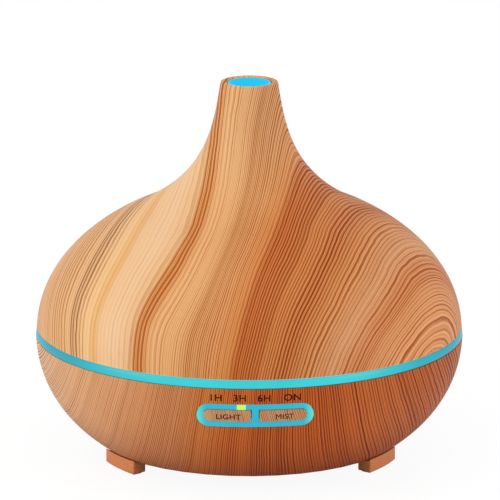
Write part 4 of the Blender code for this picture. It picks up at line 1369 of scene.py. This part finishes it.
@dataclass
class Tank:
    """The frosted water tank, moulded in one with its air duct and its screw bosses."""

    palette: Palette
    wall: float = 1.8
    bowl: tuple = ((69.2, 51.3), (69.2, 32.0), (66.0, 21.0), (50.0, 21.0))
    rim_radius: float = 77.3
    hole: float = 8.1
    duct: tuple[float, float, float] = (6.2, 7.8, 45.0)
    boss_radius: float = 3.5
    boss_places: tuple = ((46.0, 30.0), (46.0, 150.0), (46.0, 270.0))
    clamp_places: tuple = ((17.2, 0.0), (17.2, 180.0))
    clamp_foot: float = 17.1
    boss_foot: float = 7.6

    def build(self) -> None:
        """Builds the tank."""
        low, high = self.bowl[-1][1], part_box("water_tank")[1].z / MM
        curve = bezier(self.bowl, 32)
        outer = [(point.x / MM, point.y / MM, 0.0) for point in curve]
        inner = [(point.x / MM, point.y / MM, 0.0) for point in offset(curve, -self.wall * MM)[1:]]
        corners = [
            (self.rim_radius, high, 0.5),
            (self.rim_radius, self.bowl[0][1], 0.4),
            *outer,
            (self.hole, low, 0.2),
            (self.hole, low + self.wall, 0.3),
            *inner[::-1],
            (self.bowl[0][0] - self.wall, high, 0.5),
        ]
        obj = lathe("water_tank_frosted", rounded(corners), 144)
        middle = low + self.wall / 2  # the posts start inside the floor, so that they join it
        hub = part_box("air_duct_hood")
        axis = Vector(((hub[0].x + hub[1].x) / 2, (hub[0].y + hub[1].y) / 2, 0.0))
        bore, outside, top = self.duct
        posts = [self._post(outside, middle, top, axis)]
        screws = [(*place, self.boss_foot) for place in self.boss_places]
        screws += [(*place, self.clamp_foot) for place in self.clamp_places]
        for reach, angle, foot in screws:
            place = Matrix.Rotation(math.radians(angle), 4, "Z") @ Vector((reach * MM, 0, 0))
            posts.append(self._post(self.boss_radius, foot, middle, place))
        combine(obj, Merge.JOIN, *posts)
        combine(obj, Merge.CUT, self._post(bore, 0.0, 2 * top, axis))
        dress(obj, Body.BASE, self.palette["frosted"], ["water_tank"])

    @staticmethod
    def _post(radius: float, low: float, high: float, place: Vector) -> bpy.types.Object:
        """An upright round rod.

        Args:
            radius: Its radius in millimetres.
            low: The height of its foot in millimetres.
            high: The height of its top in millimetres.
            place: A point on its axis, in metres.

        Returns:
            The rod.
        """
        middle = Matrix.Translation((place.x, place.y, (low + high) / 2 * MM))
        return rod("post", radius * MM, (high - low) * MM, middle)


@dataclass
class LightRing:
    """The lit ring between the cover and the base."""

    palette: Palette
    inner_radius: float = 73.5
    lip_inner: float = 77.8
    lip_outer: float = 79.6
    lip_ends: tuple[float, float] = (44.3, 52.0)
    web: tuple[float, float] = (46.8, 50.0)
    band: tuple = ((82.35, 49.75, 0.25), (82.75, 48.3, 0.6), (82.85, 46.8, 0.25))

    def build(self) -> None:
        """Builds the ring with its locating lips."""
        low, high = self.lip_ends
        web_low, web_high = self.web
        corners = [
            (self.lip_inner, high, 0.3),
            (self.lip_outer, high, 0.3),
            (self.lip_outer, web_high - 0.2, 0.0),
            *self.band,
            (self.lip_outer, web_low - 0.05, 0.0),
            (self.lip_outer, low, 0.3),
            (self.lip_inner, low, 0.3),
            (self.lip_inner, web_low, 0.2),
            (self.inner_radius, web_low, 0.3),
            (self.inner_radius, web_high, 0.3),
            (self.lip_inner, web_high, 0.2),
        ]
        obj = lathe("light_ring_glow", rounded(corners), 192)
        dress(obj, Body.BASE, self.palette["glow_ring"], ["light_ring"])


@dataclass
class Base:
    """The wooden base shell and its feet."""

    palette: Palette
    shape: BodyShape = SHAPE
    panel_half: tuple[float, float] = (22.2 * MM, 4.75 * MM)
    jack_radius: float = 5.7 * MM
    cut_depth: float = 40 * MM
    panel_cut: float = -80 * MM
    jack_cut: float = 75 * MM
    edge: float = 0.2 * MM
    gap: float = 0.3 * MM
    foot_edge: float = 0.5 * MM
    foot_step: float = 0.75

    def build(self) -> None:
        """Builds the shell and the feet."""
        self._shell()
        for side, angle in (("rear", 90.0), ("left", 210.0), ("right", 330.0)):
            self._foot(side, angle)

    def _shell(self) -> None:
        """The base shell with its panel opening and its socket hole."""
        outside = self.shape.base_line()
        inside = offset(outside, -self.shape.wall * MM)
        inside[0].y = outside[0].y
        edge = self.edge
        outside[0] = Vector((outside[0].x, outside[0].y - edge))
        section = [Vector((outside[0].x - edge, outside[0].y + edge)), *outside, *inside[::-1]]
        obj = lathe("base_shell_wood", section, 192)
        combine(obj, Merge.CUT, self._panel_cutter(), self._jack_cutter())
        dress(obj, Body.BASE, self.palette["base_wood"], ["base_shell"])

    def _panel_cutter(self) -> bpy.types.Object:
        """The bar that opens the shell for the control panel."""
        length, height = self.panel_half
        outline = capsule(-length, length, height)
        cutter = outline_mesh("panel_cutter", [outline], self.cut_depth, 0.0)
        place = Matrix.Translation((0, self.panel_cut, mid_height("panel_frame")))
        cutter.data.transform(place @ UPRIGHT)
        return cutter

    def _jack_cutter(self) -> bpy.types.Object:
        """The rod that opens the shell for the power socket."""
        place = Matrix.Translation((0, self.jack_cut, mid_height("power_socket")))
        return rod("jack_cutter", self.jack_radius, self.cut_depth, place @ UPRIGHT)

    def _foot(self, side: str, angle: float) -> None:
        """One curved foot that reaches up under the slanting shell, with soft edges.

        Args:
            side: The foot's name.
            angle: Its middle round the axis, in degrees.
        """
        low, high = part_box("foot_rear")
        outer, seat = high.y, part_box("bottom_cover")[0].z - self.gap
        spread = 2 * math.asin(high.x / outer)
        inner = low.y / math.cos(spread / 2)
        step = inner + self.foot_step * (outer - inner)
        corners = [(outer, high.z), (outer, low.z), (inner, low.z), (inner, seat), (step, seat)]
        section = [Vector(corner) for corner in corners]
        obj = sector(f"foot_{side}_wood", section, math.radians(angle), spread)
        soften(obj, self.foot_edge)
        dress(obj, Body.BASE, self.palette["foot_wood"], [f"foot_{side}"])


@dataclass
class Panel:
    """The lit frame, its two buttons, the timer lens and the printed words."""

    palette: Palette
    half_length: float = 22.05 * MM
    half_height: float = 4.6 * MM
    window: tuple[float, float, float] = (1.3 * MM, 19.85 * MM, 2.7 * MM)
    gap: float = 0.3 * MM
    proud: float = 0.25 * MM
    labels: tuple = (("1H", -15.0), ("3H", -5.9), ("6H", 3.3), ("ON", 14.0))
    label_height: float = 43.1 * MM
    label_size: float = 2.7 * MM
    key_word_size: float = 2.1 * MM
    key_word_shift: tuple[float, float] = (0.4 * MM, -0.3 * MM)
    letter_stretch: float = 1.12
    centre: float = field(init=False, default=0.0)

    def build(self) -> None:
        """Builds every piece of the panel."""
        self.centre = mid_height("panel_frame")
        self._frame()
        self._lens()
        for name, body, side in (("light", Body.LIGHT_KEY, -1.0), ("mist", Body.MIST_KEY, 1.0)):
            self._button(name, body, side)
        self._print()

    def _window(self, side: float, shrink: float = 0.0) -> Outline:
        """One button's outline: square at the middle bar, round at the frame's end.

        Args:
            side: Which button it is: -1 for the left and 1 for the right.
            shrink: How far it lies inside the frame's own opening.

        Returns:
            The outline's points.
        """
        near, far, half = self.window
        ends = sorted((side * (near + shrink), side * (far - shrink)))
        return capsule(ends[0], ends[1], half - shrink, side < 0, side > 0)

    def _frame(self) -> None:
        """The lit frame round the two buttons."""
        outlines = [capsule(-self.half_length, self.half_length, self.half_height)]
        outlines += [self._window(-1.0), self._window(1.0)]
        obj = outline_mesh("panel_frame_glow", outlines, 3.4 * MM, 0.22 * MM)
        wrap_on_base(obj, self.centre, self.proud)
        dress(obj, Body.BASE, self.palette["glow_frame"], ["panel_frame"])

    def _lens(self) -> None:
        """The timer lens, set in the frame's top bar."""
        left, right = (corner.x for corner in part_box("timer_lens"))
        low, high = self.window[2], self.half_height
        points = [(left, low), (right, low), (right, high), (left, high)]
        obj = outline_mesh("timer_lens_glow", [points], 2.0 * MM, 0.12 * MM)
        wrap_on_base(obj, self.centre, self.proud + 0.06 * MM)
        dress(obj, Body.BASE, self.palette["lime_lens"], ["timer_lens"])

    def _button(self, name: str, body: Body, side: float) -> None:
        """One button with soft edges, and the word printed on it.

        Args:
            name: What the button works.
            body: The body that it moves with.
            side: Which button it is: -1 for the left and 1 for the right.
        """
        obj = outline_mesh(f"{name}_button_wood", [self._window(side, self.gap)], 2.4 * MM, 0.3 * MM)
        wrap_on_base(obj, self.centre, self.proud)
        dress(obj, body, self.palette["button_wood"], [f"{name}_button"])
        across = side * (self.window[0] + self.window[1]) / 2 + self.key_word_shift[0]
        height = self.centre + self.key_word_shift[1]
        proud = self.proud + 0.05 * MM
        self._word(f"{name}_word", name.upper(), (across, height), self.key_word_size, body, proud)

    def _print(self) -> None:
        """The timer's words above the frame."""
        for word, across in self.labels:
            place = (across * MM, self.label_height)
            self._word(f"timer_word_{word}", word, place, self.label_size, Body.BASE, 0.04 * MM)

    def _word(
        self, name: str, word: str, place: tuple[float, float], size: float, body: Body, proud: float
    ) -> None:
        """A printed word, wrapped on the base.

        Args:
            name: The piece's name.
            word: What it says.
            place: Its middle along X, and its height.
            size: The height of its capitals.
            body: The body it rides on.
            proud: How far the ink stands out of the base's surface.
        """
        text = bpy.data.curves.new(name, "FONT")
        text.body, text.align_x, text.align_y = word, "CENTER", "CENTER"
        text.size = size * 1.38  # the font's capitals are 1 / 1.38 of its size
        text.extrude = 0.04 * MM
        text.offset = size * (0.0 if "M" in word else 0.012)  # a heavier M would fill in
        text.space_character = 1.05
        flat = bpy.data.objects.new(name, text)
        bpy.context.scene.collection.objects.link(flat)
        mesh = evaluated_mesh(flat)
        bpy.data.objects.remove(flat)
        obj = link_object(name, mesh)
        low = min(vert.co.y for vert in mesh.vertices)
        high = max(vert.co.y for vert in mesh.vertices)
        centred = Matrix.Translation((place[0], -(low + high) / 2, 0))
        obj.data.transform(centred @ Matrix.Scale(self.letter_stretch, 4, (1, 0, 0)))
        wrap_on_base(obj, place[1], proud, 0.5 * MM)
        dress(obj, body, self.palette["print"])


@dataclass
class Inside:
    """Everything that the frame already shapes well: it keeps its mesh and gets a finish."""

    palette: Palette

    def build(self) -> None:
        """Gives each node of the frame that is still shown the finish of its slot."""
        slots = {part["node"]: part["material_slot"] for part in frame["record"]["subparts"]}
        for name, node in frame["nodes"].items():
            if node.hide_render:
                continue
            node.data.materials.clear()
            node.data.materials.append(self.palette[slots[name]])
            LOG.info("%s: %s", name, slots[name])


# ---- Studio ----


@dataclass
class Studio:
    """The camera, the pale floor and the soft lights."""

    distance: float = 2.2
    lens: float = 408.7
    azimuth: float = -1.6
    elevation: float = 14.26
    aim: float = 79.5 * MM
    shift: float = 0.0014
    floor_glow: float = 1.02
    floor_share: float = 0.91
    floor_drop: float = 0.05 * MM
    sky: tuple[float, float] = (0.72, 1.1)
    softboxes: tuple = (
        ("left_box", (-1.50, -0.50, 0.65), (0.8, 0.6), 8.0),
        ("right_box", (1.33, -0.70, 0.52), (0.5, 0.5), 5.0),
        ("top_box", (-0.3, -0.4, 1.7), (1.2, 1.2), 6.0),
    )
    light_aim: float = 60 * MM

    def build(self) -> None:
        """Sets up the whole studio."""
        self._camera()
        self._floor()
        self._world()
        for name, place, size, power in self.softboxes:
            self._softbox(name, place, size, power)
        bpy.context.scene.view_settings.view_transform = "Standard"

    def _camera(self) -> None:
        """The camera, looking slightly down at the front."""
        camera = bpy.data.objects.new("camera", bpy.data.cameras.new("camera"))
        bpy.context.scene.collection.objects.link(camera)
        camera.data.lens, camera.data.sensor_width = self.lens, 36.0
        camera.data.shift_x = self.shift
        camera.data.clip_end = 60.0
        turn, lift = math.radians(self.azimuth), math.radians(self.elevation)
        target = Vector((0, 0, self.aim))
        level = math.cos(lift)
        reach = Vector((math.sin(turn) * level, -math.cos(turn) * level, math.sin(lift)))
        camera.location = target + reach * self.distance
        camera.rotation_euler = (-reach).to_track_quat("-Z", "Y").to_euler()
        bpy.context.scene.camera = camera

    def _floor(self) -> None:
        """A plain white floor with a faint gloss, which glows a little where the camera sees it."""
        mesh = bpy.data.meshes.new("floor")
        shape = bmesh.new()
        bmesh.ops.create_grid(shape, x_segments=2, y_segments=2, size=20.0)
        shape.to_mesh(mesh)
        shape.free()
        floor = link_object("floor", mesh)
        canvas, material, shader = new_material(
            "floor", Base_Color=(0.9, 0.9, 0.9), Specular_IOR_Level=0.3
        )
        tone = canvas.noise(place_of(canvas), 3.0)
        canvas.feed(shader.inputs["Roughness"], canvas.ease(tone, 0.0, 1.0, 0.22, 0.28))
        glow = canvas.add("Emission", {"Color": (1.0, 1.0, 1.0), "Strength": self.floor_glow})
        seen = canvas.add("LightPath").outputs["Is Camera Ray"]
        share = canvas.math("MULTIPLY", seen, self.floor_share)
        shaders = {0: share, 1: shader.outputs["BSDF"], 2: glow.outputs["Emission"]}
        mixed = canvas.add("MixShader", shaders).outputs["Shader"]
        canvas.feed(material.node_tree.nodes["Material Output"].inputs["Surface"], mixed)
        mesh.materials.append(material)
        floor.location.z = -self.floor_drop

    def _world(self) -> None:
        """An even white surround."""
        world = bpy.data.worlds.new("surround")
        world.use_nodes = True
        canvas = Canvas(world.node_tree)
        seen = canvas.add("LightPath").outputs["Is Camera Ray"]
        sky = world.node_tree.nodes["Background"]
        canvas.feed(sky.inputs["Color"], (1.0, 1.0, 1.0))
        canvas.feed(sky.inputs["Strength"], canvas.ease(seen, 0.0, 1.0, *self.sky))
        bpy.context.scene.world = world

    def _softbox(
        self, name: str, place: tuple[float, float, float], size: tuple[float, float], power: float
    ) -> None:
        """A soft rectangular light that faces the object.

        Args:
            name: The light's name.
            place: Where it stands.
            size: Its width and height.
            power: Its power in watts.
        """
        light = bpy.data.lights.new(name, "AREA")
        light.shape, light.energy = "RECTANGLE", power
        light.size, light.size_y = size
        obj = bpy.data.objects.new(name, light)
        bpy.context.scene.collection.objects.link(obj)
        obj.location = place
        aim = Vector((0, 0, self.light_aim)) - Vector(place)
        obj.rotation_euler = aim.to_track_quat("-Z", "Y").to_euler()


def main() -> None:
    """Builds the object's looks and the studio round them."""
    logging.basicConfig(level=logging.INFO, format="%(message)s")
    palette = Palette()
    outer = (Cover(palette), LightRing(palette), Base(palette), Panel(palette))
    for part in (*outer, SplashCover(palette), Tank(palette), Inside(palette)):
        part.build()
    Studio().build()


if __name__ == "__main__":
    main()
